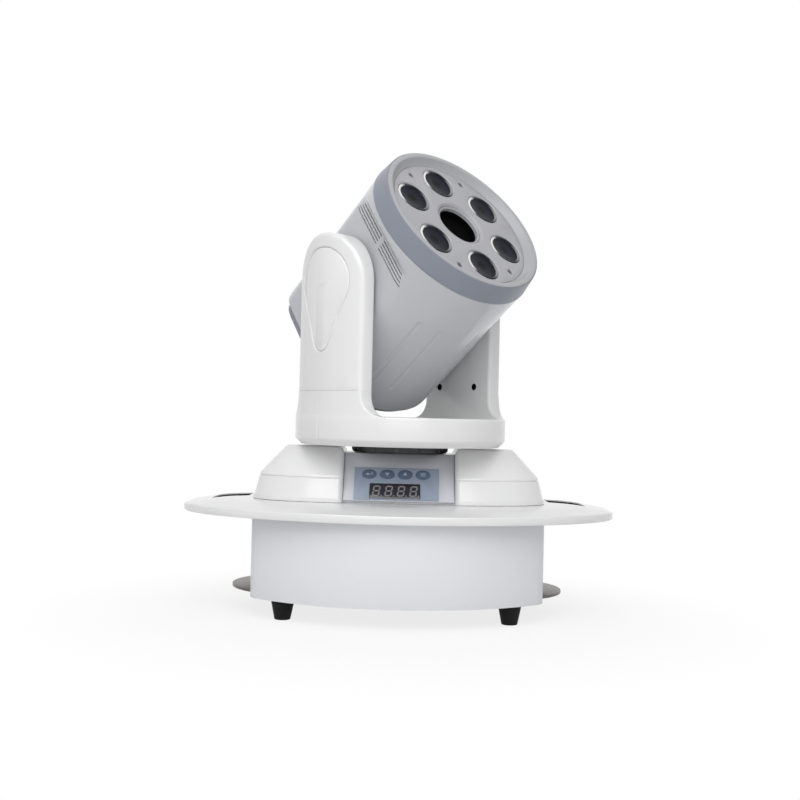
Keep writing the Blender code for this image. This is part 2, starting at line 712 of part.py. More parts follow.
def cap_outline(grow):
    """The teardrop lid's outline in depth and height."""
    return two_circles((0, CAP_TOP[0]), CAP_TOP[1] + grow, (0, CAP_FOOT[0]), CAP_FOOT[1] + grow, 14)


def add_cap_prism(bm, grow, low, high):
    rings = [[(x, y, z) for y, z in cap_outline(grow)] for x in (low, high)]
    return add_loft(bm, rings)


def make_arms(looks, pan_axis):
    low = YOKE_SEAM_Z + GAP
    for name, turn in (("right_arm", Matrix.Identity(4)), ("left_arm", MIRROR_X)):
        bm = bmesh.new()
        add_slab(bm, arm_columns(0, low))
        bmesh.ops.recalc_face_normals(bm, faces=bm.faces)
        rim = [edge for edge in bm.edges if edge.calc_face_angle() > SHARP
               and not all(abs(vert.co.z - low) < GAP for vert in edge.verts)]
        bmesh.ops.bevel(bm, geom=rim, offset=YOKE_EDGE, segments=2, profile=0.5, affect="EDGES")
        bmesh.ops.transform(bm, matrix=turn, verts=bm.verts)
        arm = place(name, bm, looks["white"], pan_axis)
        bm = bmesh.new()
        add_slab(bm, arm_columns(YOKE_WALL, low - PAST))
        bmesh.ops.transform(bm, matrix=turn, verts=bm.verts)
        combine(arm, bm)
        bm = bmesh.new()
        add_cap_prism(bm, 0.4 * MM, YOKE_RADIUS - PAST, YOKE_RADIUS + PAST)
        bore = Matrix.Translation((0, 0, TILT_Z)) @ ALONG_X
        add_rod(bm, AXLE_BORE, YOKE_INNER - PAST, YOKE_INNER + 5 * MM, FINE_STEPS, bore)
        for y in (-ARM_HOLE_Y, ARM_HOLE_Y):
            hole = Matrix.Translation((0, y, ARM_HOLE_Z)) @ ALONG_X
            add_rod(bm, ARM_HOLE_RADIUS, YOKE_INNER - PAST, YOKE_INNER + 5 * MM, 12, hole)
        bmesh.ops.transform(bm, matrix=turn, verts=bm.verts)
        combine(arm, bm)

        bm = bmesh.new()
        add_tube(bm, YOKE_RADIUS - YOKE_WALL, YOKE_RADIUS - 0.4 * MM, CAP_FOOT[0] - 2 * PAST,
                 CAP_TOP[0] + 2 * PAST, 120)
        cap = place(f"{name}_cap", bm, looks["white"], pan_axis)
        bm = bmesh.new()
        add_cap_prism(bm, 0, YOKE_RADIUS - 2 * PAST, YOKE_RADIUS + PAST)
        bmesh.ops.transform(bm, matrix=turn, verts=bm.verts)
        combine(cap, bm, "INTERSECT")


def make_yoke_frame(looks, pan_axis):
    outer, inner = FRAME_X + FRAME_THICK, FRAME_X
    floor = FRAME_Z + FRAME_THICK
    profile = [(-outer, FRAME_Z), (outer, FRAME_Z), (outer, FRAME_TOP), (inner, FRAME_TOP),
               (inner, floor), (-inner, floor), (-inner, FRAME_TOP), (-outer, FRAME_TOP)]
    bm = bmesh.new()
    add_loft(bm, [[(x, y, z) for x, z in profile] for y in (-FRAME_HALF, FRAME_HALF)])
    frame = place("yoke_frame", bm, looks["steel"], pan_axis)
    bm = bmesh.new()
    add_rod(bm, AXLE_BORE, -2 * outer, 2 * outer, FINE_STEPS, Matrix.Translation((0, 0, TILT_Z)) @ ALONG_X)
    add_rod(bm, PAN_SHAFT_RADIUS - 4 * MM, FRAME_Z - PAST, floor + PAST / 2, FINE_STEPS)
    combine(frame, bm)


def make_tilt_drive(looks, pan_axis, tilt_axis):
    """Bearings, motor and belt in the arms; axles and the large pulley on the head."""
    seat = FRAME_X + FRAME_THICK + GAP
    along = Matrix.Translation((0, 0, TILT_Z)) @ ALONG_X
    for side, turn in (("right", Matrix.Identity(4)), ("left", MIRROR_X)):
        bm = bmesh.new()
        add_tube(bm, AXLE_RADIUS + GAP, BEARING_RADIUS, seat, seat + 6 * MM, FINE_STEPS, turn @ along)
        place(f"{side}_tilt_bearing", bm, looks["steel"], pan_axis)
        end = TILT_BELT_X + TILT_PULLEY_WIDTH if side == "right" else seat + 8 * MM
        flange = BARREL_STATIONS[3][2] - HEAD_WALL - GAP
        profile = [(0, flange - 4 * MM), (18 * MM, flange - 4 * MM), (18 * MM, flange),
                   (AXLE_RADIUS, flange), (AXLE_RADIUS, end), (0, end)]
        bm = bmesh.new()
        add_turned(bm, profile, FINE_STEPS, False, turn @ ALONG_X)
        place(f"{side}_axle", bm, looks["steel"], tilt_axis)

    where = Matrix.Translation((0, 0, TILT_MOTOR_Z)) @ ALONG_X
    bm = bmesh.new()
    add_box(bm, (-MOTOR_HALF, -MOTOR_HALF, seat), (MOTOR_HALF, MOTOR_HALF, seat + TILT_MOTOR_DEPTH), where)
    motor = place("tilt_motor", bm, looks["black"], pan_axis)
    bm = bmesh.new()
    end = TILT_BELT_X + TILT_PULLEY_WIDTH
    add_rod(bm, MOTOR_SHAFT_RADIUS, seat + 2 * MM, end, SMALL_STEPS, where)
    combine(motor, bm, "UNION")
    bm = bmesh.new()
    add_tube(bm, MOTOR_SHAFT_RADIUS + GAP, TILT_PINION_RADIUS, TILT_BELT_X, end, SMALL_STEPS, ALONG_X)
    pinion = place("tilt_drive_pulley", bm, looks["aluminium"], pan_axis)
    pinion.location = (0, 0, TILT_MOTOR_Z)
    bm = bmesh.new()
    drop = TILT_Z - TILT_MOTOR_Z
    ends = ((0, 0), TILT_PULLEY_RADIUS, (drop, 0), TILT_PINION_RADIUS)
    add_belt(bm, ends, TILT_BELT_X + 0.5 * MM, end - 0.5 * MM, along)
    place("tilt_belt", bm, looks["rubber"], pan_axis)
    bm = bmesh.new()
    add_tube(bm, AXLE_RADIUS + GAP, TILT_PULLEY_RADIUS, TILT_BELT_X, end, 2 * SMALL_STEPS, ALONG_X)
    place("tilt_pulley", bm, looks["aluminium"], tilt_axis)


def flattened(along, radius, flat, steps=STEPS):
    """A ring round the beam axis, cut flat on both sides where it would pass half width flat."""
    points = []
    for i in range(steps):
        turn = 2 * math.pi * (i + 0.5) / steps
        reach = min(radius, flat / abs(math.cos(turn)))
        points.append((reach * math.cos(turn), reach * math.sin(turn), along))
    return points


def make_barrel(looks, tilt_axis):
    outer = [flattened(*station) for station in BARREL_STATIONS]
    inner = [flattened(along, radius - HEAD_WALL, flat - HEAD_WALL)
             for along, radius, flat in reversed(BARREL_STATIONS)]
    bm = bmesh.new()
    add_loft(bm, outer + inner, True)
    barrel = place("head_barrel", bm, looks["white"], tilt_axis)
    bm = bmesh.new()
    for side in (-1, 1):
        for half in (-1, 1):
            for along in VENT_PLACES:
                xs = sorted((side * 65 * MM, side * 95 * MM))
                ys = sorted(half * end for end in VENT_SPAN)
                add_box(bm, (xs[0], ys[0], along - VENT_WIDTH / 2), (xs[1], ys[1], along + VENT_WIDTH / 2))
    combine(barrel, bm)
    bm = bmesh.new()
    add_rod(bm, AXLE_BORE, -BOX_HALF_WIDTH, BOX_HALF_WIDTH, FINE_STEPS, ALONG_X)
    combine(barrel, bm)


def spots(radius, count, start=30):
    turns = [math.radians(start) + 2 * math.pi * i / count for i in range(count)]
    return [(radius * math.cos(turn), radius * math.sin(turn)) for turn in turns]


def make_face(looks, tilt_axis):
    inner = FACE_RADIUS + 0.4 * MM
    profile = [(RING_RADIUS, RING_START), (RING_RADIUS, RING_START + 1.5 * MM),
               (RING_FRONT_RADIUS, RING_END - 1 * MM), (RING_FRONT_RADIUS - 1.2 * MM, RING_END),
               (LIP_RADIUS, RING_END), (inner, FACE_TOP + GAP), (inner, RING_START)]
    bm = bmesh.new()
    add_turned(bm, profile, STEPS, True)
    place("front_ring", bm, looks["band_grey"], tilt_axis)

    bm = bmesh.new()
    add_rod(bm, FACE_RADIUS, FACE_TOP - FACE_THICK, FACE_TOP, STEPS)
    plate = place("face_plate", bm, looks["face_grey"], tilt_axis)
    bm = bmesh.new()
    low, high = FACE_TOP - PAST, FACE_TOP + PAST
    for centre in spots(LENS_CIRCLE, LENS_COUNT):
        add_prism(bm, circle(LENS_RADIUS + GAP, 24, centre), low, high)
    for turn in FACE_SCREW_ANGLES:
        add_prism(bm, circle(FACE_SCREW_RADIUS, 10, spots(FACE_SCREW_CIRCLE, 1, turn)[0]), low, high)
    add_rod(bm, APERTURE_RADIUS + GAP, low, high, FINE_STEPS)
    combine(plate, bm)

    back = 90 * MM
    rim = FACE_TOP - FACE_THICK
    profile = [(0, back), (9 * MM, back), (LENS_RADIUS, back + 7 * MM), (LENS_RADIUS, rim),
               (14 * MM, rim + 1.4 * MM), (8 * MM, rim + 2.5 * MM), (0, rim + 3 * MM)]
    for i, (x, y) in enumerate(spots(LENS_CIRCLE, LENS_COUNT)):
        bm = bmesh.new()
        add_turned(bm, profile, 24, False, Matrix.Translation((x, y, 0)))
        place(f"lens_{i + 1}", bm, looks["lens_glass"], tilt_axis)

    floor = 89 * MM
    lip = FACE_TOP + 0.5 * MM
    profile = [(0, floor), (APERTURE_RADIUS, floor), (APERTURE_RADIUS, lip), (22.5 * MM, lip),
               (21 * MM, lip - 2 * MM), (21 * MM, floor + 2 * MM), (0, floor + 2 * MM)]
    bm = bmesh.new()
    add_turned(bm, profile, FINE_STEPS)
    place("aperture_tube", bm, looks["black"], tilt_axis)


def make_head_insides(looks, tilt_axis):
    bm = bmesh.new()
    add_rod(bm, 76 * MM, SINK_FRONT + GAP, SINK_FRONT + GAP + 1.6 * MM, 2 * SMALL_STEPS)
    place("led_board", bm, looks["aluminium"], tilt_axis)

    root = SINK_FRONT - 6 * MM
    pitch = 2 * SINK_HALF[0] / (2 * SINK_FINS - 1)
    comb = []
    for i in range(2 * SINK_FINS):
        x = -SINK_HALF[0] + i * pitch
        comb += [(x, root), (x, SINK_BACK)] if i % 2 == 0 else [(x, SINK_BACK), (x, root)]
    comb = comb[1:-1] + [(SINK_HALF[0], SINK_FRONT), (-SINK_HALF[0], SINK_FRONT)]
    bm = bmesh.new()
    add_loft(bm, [[(x, y, z) for x, z in comb] for y in (-SINK_HALF[1], SINK_HALF[1])])
    place("heat_sink", bm, looks["aluminium"], tilt_axis)

    front = FAN_BACK + FAN_DEPTH
    bm = bmesh.new()
    add_box(bm, (-FAN_HALF, -FAN_HALF, FAN_BACK), (FAN_HALF, FAN_HALF, front))
    fan = place("fan_frame", bm, looks["black"], tilt_axis)
    bm = bmesh.new()
    add_rod(bm, FAN_HALF - 2 * MM, FAN_BACK - PAST, front + PAST, 2 * SMALL_STEPS)
    combine(fan, bm)
    spider_top = FAN_BACK + 3 * MM
    bm = bmesh.new()
    add_box(bm, (-FAN_HALF + 1 * MM, -3 * MM, FAN_BACK), (FAN_HALF - 1 * MM, 3 * MM, spider_top))
    combine(fan, bm, "UNION")

    hub, tip, blade = 14 * MM, FAN_HALF - 3.5 * MM, math.radians(9)
    low, high, twist = spider_top + 1 * MM, front - 2 * MM, math.radians(28)
    rings = []
    for height, turn in ((low, 0), ((low + high) / 2, twist / 2), (high, twist)):
        ring = []
        for i in range(FAN_BLADES):
            middle = turn + 2 * math.pi * i / FAN_BLADES
            for radius, off in ((hub, -2 * blade), (tip, -blade), (tip, blade), (hub, 2 * blade)):
                ring.append((radius * math.cos(middle + off), radius * math.sin(middle + off), height))
        rings.append(ring)
    bm = bmesh.new()
    add_loft(bm, rings)
    place("fan_rotor", bm, looks["black"], tilt_axis)

    back, radius, flat = GRILLE_SIZE
    bm = bmesh.new()
    add_loft(bm, [flattened(back, radius - 3 * MM, flat - 3 * MM, 48),
                  flattened(back + 3 * MM, radius, flat, 48),
                  flattened(BARREL_STATIONS[0][0] - GAP, radius, flat, 48)])
    grille = place("rear_grille", bm, looks["band_grey"], tilt_axis)
    bm = bmesh.new()
    for i in range(7):
        y = (i - 3) * 10 * MM
        half = math.sqrt((FAN_HALF - 2 * MM) ** 2 - y ** 2)
        add_box(bm, (-half, y - 2.5 * MM, back - PAST), (half, y + 2.5 * MM, back + PAST / 2))
    combine(grille, bm)


def main():
    clear_scene()
    looks = {
        "white": material("white_plastic", (0.84, 0.84, 0.85), 0.25),
        "white_metal": material("white_painted_metal", (0.82, 0.82, 0.84), 0.35),
        "band_grey": material("blue_grey_plastic", (0.42, 0.45, 0.52), 0.4),
        "face_grey": material("light_grey_plastic", (0.50, 0.50, 0.53), 0.45),
        "panel_grey": material("panel_grey_plastic", (0.55, 0.57, 0.60), 0.45),
        "overlay_blue": material("overlay_film", (0.42, 0.48, 0.58), 0.5),
        "button_blue": material("button_film", (0.22, 0.29, 0.40), 0.45),
        "black": material("black_plastic", (0.02, 0.02, 0.02), 0.4),
        "rubber": material("black_rubber", (0.015, 0.015, 0.016), 0.7),
        "lens_glass": material("dark_lens", (0.05, 0.05, 0.07), 0.08),
        "steel": material("steel", (0.55, 0.54, 0.52), 0.35, 1.0),
        "aluminium": material("aluminium", (0.75, 0.76, 0.78), 0.35, 1.0),
        "board_green": material("circuit_board", (0.04, 0.2, 0.09), 0.5),
    }
    panel_frame = empty("panel_frame", PANEL_CENTRE, (math.pi / 2 - PANEL_LEAN, 0, 0))
    pan_axis = empty("pan_axis", (0, 0, 0), (0, 0, PAN_REST))
    tilt_axis = empty("tilt_axis", (0, 0, TILT_Z), (math.pi / 2 - TILT_REST, 0, 0), pan_axis)
    bpy.context.view_layer.update()

    make_box_and_plate(looks)
    make_feet(looks)
    make_wing(looks)
    make_cover(looks, panel_frame)
    make_panel(looks, panel_frame)
    make_sockets(looks)
    make_base_insides(looks)
    make_pan_drive(looks, pan_axis)
    make_yoke_base(looks, pan_axis)
    make_arms(looks, pan_axis)
    make_yoke_frame(looks, pan_axis)
    make_tilt_drive(looks, pan_axis, tilt_axis)
    make_barrel(looks, tilt_axis)
    make_face(looks, tilt_axis)
    make_head_insides(looks, tilt_axis)


main()
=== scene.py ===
"""Looks of a moving head stage light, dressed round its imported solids.

Lengths are in metres. The base is modelled in the row frame, the yoke in the frame of its pan axis and the head
in the frame of its tilt axis, with the beam along Z. Every finished piece has its place in its mesh.
"""

from __future__ import annotations

import logging
import math
from collections.abc import Callable, Iterator, Sequence
from contextlib import contextmanager
from dataclasses import dataclass
from enum import Enum

import bmesh
import bpy
from mathutils import Matrix, Vector

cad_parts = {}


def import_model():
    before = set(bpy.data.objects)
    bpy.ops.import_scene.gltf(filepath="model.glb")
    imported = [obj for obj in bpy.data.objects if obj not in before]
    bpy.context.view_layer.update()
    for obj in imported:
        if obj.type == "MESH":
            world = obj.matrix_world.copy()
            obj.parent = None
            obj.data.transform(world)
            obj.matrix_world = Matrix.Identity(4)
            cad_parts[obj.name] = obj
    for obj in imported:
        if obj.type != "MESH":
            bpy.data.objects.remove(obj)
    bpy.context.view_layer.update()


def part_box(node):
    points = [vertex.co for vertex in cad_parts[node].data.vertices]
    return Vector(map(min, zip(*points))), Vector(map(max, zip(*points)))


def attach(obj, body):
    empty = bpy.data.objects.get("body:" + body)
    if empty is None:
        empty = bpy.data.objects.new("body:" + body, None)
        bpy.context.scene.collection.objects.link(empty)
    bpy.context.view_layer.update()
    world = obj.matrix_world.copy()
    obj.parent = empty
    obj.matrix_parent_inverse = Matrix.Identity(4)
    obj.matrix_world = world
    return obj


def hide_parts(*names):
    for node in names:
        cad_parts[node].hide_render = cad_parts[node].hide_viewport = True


LOG = logging.getLogger("stage_light")

MM = 0.001

Point = tuple[float, float]
Place = tuple[float, float, float]
Colour = tuple[float, float, float]

PAN_REST = math.radians(41.5)
TILT_REST = math.radians(37.3)
TILT_Z = 311.2 * MM
PANEL_SLOPE = math.radians(55)
PANEL_CENTRE = (0, -43 * MM, 118.75 * MM)

BASE_FRAME = Matrix.Identity(4)
YOKE_FRAME = Matrix.Rotation(PAN_REST, 4, "Z")
HEAD_FRAME = (
    YOKE_FRAME @ Matrix.Translation((0, 0, TILT_Z)) @ Matrix.Rotation(math.pi / 2 - TILT_REST, 4, "X")
)
PANEL_FRAME = Matrix.Translation(PANEL_CENTRE) @ Matrix.Rotation(PANEL_SLOPE, 4, "X")
ALONG_X = Matrix.Rotation(math.pi / 2, 4, "Y")
ALONG_Y = Matrix.Rotation(-math.pi / 2, 4, "X")


class Body(Enum):
    """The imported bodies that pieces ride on."""

    BASE = "base"
    YOKE = "yoke"
    HEAD = "head"
    FAN = "fan"
    MENU_KEY = "menu_key"
    DOWN_KEY = "down_key"
    UP_KEY = "up_key"
    ENTER_KEY = "enter_key"


class Slot(Enum):
    """The record's material slots."""

    WHITE_PLASTIC = "white_plastic"
    WHITE_METAL = "white_painted_metal"
    STEEL = "steel"
    PANEL = "panel_grey"
    OVERLAY = "overlay_film"
    BUTTON = "button_film"
    BLACK = "black_plastic"
    RUBBER = "rubber"
    ALUMINIUM = "aluminium"
    BAND = "band_grey"
    FACE = "face_grey"
    LENS = "lens"


@dataclass(frozen=True)
class Finish:
    """A surface made of nodes: a mottled colour, an uneven gloss and a fine grain.

    Attributes:
        name: The material's name.
        colour: The main colour.
        shade: The colour of the patches.
        gloss: The lowest and highest roughness.
        patch: The size of the patches.
        grain: The size of the grain.
        bump: How strongly the grain stands out.
        metallic: Metal, from 0 to 1.
        coat: The weight of a clear top coat.
        specular: How strongly it mirrors, 0.5 for plain plastic.
        stretch: How much finer the grain is along X, Y and Z.
    """

    name: str
    colour: Colour
    shade: Colour
    gloss: tuple[float, float]
    patch: float = 45 * MM
    grain: float = 0.9 * MM
    bump: float = 0.05
    metallic: float = 0.0
    coat: float = 0.0
    specular: float = 0.5
    stretch: Place = (1.0, 1.0, 1.0)

    def material(self) -> bpy.types.Material:
        """Makes the material, or finds it if it is made already.

        Returns:
            The material.
        """
        made = bpy.data.materials.get(self.name)
        if made:
            return made
        made = bpy.data.materials.new(self.name)
        made.use_nodes = True
        tree = made.node_tree
        shader = tree.nodes["Principled BSDF"]
        shader.inputs["Metallic"].default_value = self.metallic
        shader.inputs["Coat Weight"].default_value = self.coat
        shader.inputs["Specular IOR Level"].default_value = self.specular
        shader.inputs["Coat Roughness"].default_value = 0.06
        where = tree.nodes.new("ShaderNodeTexCoord").outputs["Object"]
        mapping = tree.nodes.new("ShaderNodeMapping")
        mapping.inputs["Scale"].default_value = self.stretch
        tree.links.new(where, mapping.inputs["Vector"])
        patches = self._noise(tree, where, self.patch, 5)
        grain = self._noise(tree, mapping.outputs["Vector"], self.grain, 2)
        self._colour(tree, patches, grain, shader)
        rough = tree.nodes.new("ShaderNodeMapRange")
        rough.inputs["To Min"].default_value = self.gloss[0]
        rough.inputs["To Max"].default_value = self.gloss[1]
        tree.links.new(self._noise(tree, where, self.patch / 5, 4), rough.inputs["Value"])
        tree.links.new(rough.outputs["Result"], shader.inputs["Roughness"])
        bump = tree.nodes.new("ShaderNodeBump")
        bump.inputs["Strength"].default_value = self.bump
        bump.inputs["Distance"].default_value = 0.2 * self.grain
        tree.links.new(grain, bump.inputs["Height"])
        tree.links.new(bump.outputs["Normal"], shader.inputs["Normal"])
        return made

    def _colour(
        self,
        tree: bpy.types.NodeTree,
        patches: bpy.types.NodeSocket,
        grain: bpy.types.NodeSocket,
        shader: bpy.types.Node,
    ) -> None:
        """Mixes the main colour with its patches.

        Args:
            tree: The material's nodes.
            patches: The noise that places the patches.
            grain: The fine noise; not used.
            shader: The shader that takes the colour.
        """
        mix = tree.nodes.new("ShaderNodeMix")
        mix.data_type = "RGBA"
        mix.inputs[6].default_value = (*self.colour, 1)
        mix.inputs[7].default_value = (*self.shade, 1)
        tree.links.new(patches, mix.inputs[0])
        tree.links.new(mix.outputs[2], shader.inputs["Base Color"])

    @staticmethod
    def _noise(
        tree: bpy.types.NodeTree, where: bpy.types.NodeSocket, size: float, detail: float
    ) -> bpy.types.NodeSocket:
        """Adds a noise of the given size in metres.

        Args:
            tree: The material's nodes.
            where: The coordinates to read.
            size: The size of one patch.
            detail: How many finer layers it has.

        Returns:
            The noise's value.
        """
        noise = tree.nodes.new("ShaderNodeTexNoise")
        noise.inputs["Scale"].default_value = 1 / size
        noise.inputs["Detail"].default_value = detail
        tree.links.new(where, noise.inputs["Vector"])
        return noise.outputs["Fac"]


@dataclass(frozen=True)
class LensFinish(Finish):
    """Dark coated glass whose tone follows the distance from the lens's axis. The lens cups use it too, for a painted
    glint that follows the turn round the lens.

    Attributes:
        attribute: The mesh attribute that holds that distance, 0 on the axis and 1 at the rim; on a cup it holds the
            turn from the painted glint, 0 at the glint and 1 opposite.
        stops: Places along it and the colour at each.
    """

    attribute: str = "from_axis"
    stops: tuple[tuple[float, Colour], ...] = ()

    def _colour(
        self,
        tree: bpy.types.NodeTree,
        patches: bpy.types.NodeSocket,
        grain: bpy.types.NodeSocket,
        shader: bpy.types.Node,
    ) -> None:
        """Runs the colour through the stops, from the axis to the rim, and on a cup from its painted glint round to the
        far side.
        """
        reader = tree.nodes.new("ShaderNodeAttribute")
        reader.attribute_name = self.attribute
        ramp = tree.nodes.new("ShaderNodeValToRGB")
        while len(ramp.color_ramp.elements) < len(self.stops):
            ramp.color_ramp.elements.new(1.0)
        for element, (place, colour) in zip(ramp.color_ramp.elements, self.stops):
            element.position = place
            element.color = (*colour, 1)
        tree.links.new(reader.outputs["Fac"], ramp.inputs["Fac"])
        tree.links.new(ramp.outputs["Color"], shader.inputs["Base Color"])


WHITE_GLOSS = Finish(
    "gloss_white_moulding", (0.80, 0.80, 0.795), (0.775, 0.778, 0.78), (0.16, 0.26), 60 * MM, 2.2 * MM, 0.02, coat=0.35
)
# The same white plastic as WHITE_GLOSS, made darker and bluer: painted shade for the barrel.
HEAD_WHITE_PAINTED_SHADE = Finish(
    "gloss_white_head", (0.53, 0.545, 0.57), (0.51, 0.525, 0.55), (0.16, 0.26), 60 * MM, 2.2 * MM, 0.02, coat=0.35
)
WHITE_SHEET = Finish(
    "satin_white_sheet", (0.77, 0.78, 0.81), (0.745, 0.757, 0.79), (0.32, 0.42), 70 * MM, 0.7 * MM, 0.06
)
BLUE_GREY = Finish("blue_grey_band", (0.24, 0.262, 0.315), (0.22, 0.24, 0.29), (0.3, 0.4), 30 * MM, 0.8 * MM, 0.06)
RIM_GREY = Finish("pale_grey_rim", (0.40, 0.405, 0.425), (0.38, 0.385, 0.405), (0.28, 0.38), 30 * MM, 0.8 * MM, 0.05)
FACE_GREY = Finish("mid_grey_face", (0.40, 0.40, 0.425), (0.38, 0.38, 0.405), (0.36, 0.46), 25 * MM, 0.6 * MM, 0.08)
PANEL_GREY = Finish("satin_grey_panel", (0.62, 0.635, 0.68), (0.60, 0.615, 0.66), (0.38, 0.48), 20 * MM, 0.5 * MM, 0.08)
OVERLAY_BLUE = Finish("blue_membrane", (0.32, 0.38, 0.485), (0.305, 0.362, 0.465), (0.42, 0.5), 15 * MM, 0.3 * MM, 0.05)
KEY_BLUE = Finish("blue_key", (0.115, 0.165, 0.25), (0.105, 0.152, 0.235), (0.4, 0.48), 6 * MM, 0.3 * MM, 0.06)
ICON_PALE = Finish("pale_print", (0.50, 0.56, 0.64), (0.46, 0.52, 0.60), (0.4, 0.5), 2 * MM, 0.2 * MM, 0.04)
DISPLAY_BLACK = Finish("display_filter", (0.008, 0.008, 0.014), (0.006, 0.006, 0.011), (0.12, 0.2), 10 * MM, coat=0.5)
DIGIT_GREY = Finish("unlit_segment", (0.27, 0.26, 0.27), (0.24, 0.232, 0.24), (0.35, 0.45), 2 * MM, 0.2 * MM, 0.04)
BLACK_SATIN = Finish("satin_black", (0.014, 0.014, 0.015), (0.02, 0.02, 0.021), (0.3, 0.45), 15 * MM, 0.5 * MM, 0.1)
BLACK_DEEP = Finish(
    "flocked_black", (0.001, 0.001, 0.001), (0.002, 0.002, 0.002), (0.85, 0.95), 8 * MM, 0.3 * MM, 0.2, specular=0.05
)
RUBBER = Finish(
    "black_rubber", (0.004, 0.004, 0.0045), (0.007, 0.007, 0.0075), (0.6, 0.75), 8 * MM, 0.4 * MM, 0.25, specular=0.2
)
# Dark and warm for steel: painted reflection, standing for the wing's dark underside mirrored in the base plate's ears;
# the inner steel parts share it.
STEEL = Finish(
    "brushed_steel", (0.16, 0.143, 0.133), (0.12, 0.106, 0.098), (0.28, 0.42), 35 * MM, 0.6 * MM, 0.12, 1.0,
    stretch=(0.03, 1.0, 1.0),
)
SCREW_STEEL = Finish("dark_screw", (0.06, 0.06, 0.065), (0.09, 0.09, 0.095), (0.25, 0.4), 3 * MM, 0.2 * MM, 0.1, 0.9)
BRIGHT_METAL = Finish("bright_reflector", (0.80, 0.81, 0.83), (0.72, 0.735, 0.76), (0.1, 0.2), 6 * MM, 0.4 * MM, 0.03, 1.0)
ALUMINIUM = Finish(
    "plain_aluminium", (0.66, 0.67, 0.69), (0.60, 0.61, 0.63), (0.3, 0.45), 12 * MM, 0.5 * MM, 0.08, 1.0
)
BRASS = Finish("brass_contact", (0.70, 0.52, 0.22), (0.62, 0.45, 0.18), (0.2, 0.3), 4 * MM, 0.3 * MM, 0.05, 1.0)
BOARD_GREEN = Finish("circuit_board", (0.02, 0.12, 0.05), (0.015, 0.095, 0.04), (0.3, 0.45), 9 * MM, 0.5 * MM, 0.1)
LENS_GLASS = LensFinish(
    "dark_lens", (0.03, 0.035, 0.05), (0.03, 0.035, 0.05), (0.1, 0.2), 10 * MM, 1.5 * MM, 0.01, specular=0.06,
    stops=(
        (0.0, (0.0005, 0.0005, 0.0005)),
        (0.28, (0.0005, 0.0005, 0.001)),
        (0.40, (0.010, 0.012, 0.020)),
        (0.75, (0.012, 0.014, 0.024)),
        (1.0, (0.004, 0.005, 0.008)),
    ),
)
# Painted reflection: the cups are bright at the glint's angle, dark round the sides and a little lighter opposite.
CUP_PAINTED_GLINT = LensFinish(
    "polished_cup", (0.8, 0.8, 0.8), (0.8, 0.8, 0.8), (0.2, 0.3), 6 * MM, 0.4 * MM, 0.03, specular=0.1,
    attribute="from_glint",
    stops=(
        (0.0, (0.85, 0.84, 0.82)),
        (0.10, (0.75, 0.74, 0.73)),
        (0.22, (0.06, 0.065, 0.085)),
        (0.55, (0.012, 0.014, 0.02)),
        (0.80, (0.03, 0.033, 0.045)),
        (0.95, (0.22, 0.225, 0.24)),
        (1.0, (0.30, 0.305, 0.32)),
    ),
)


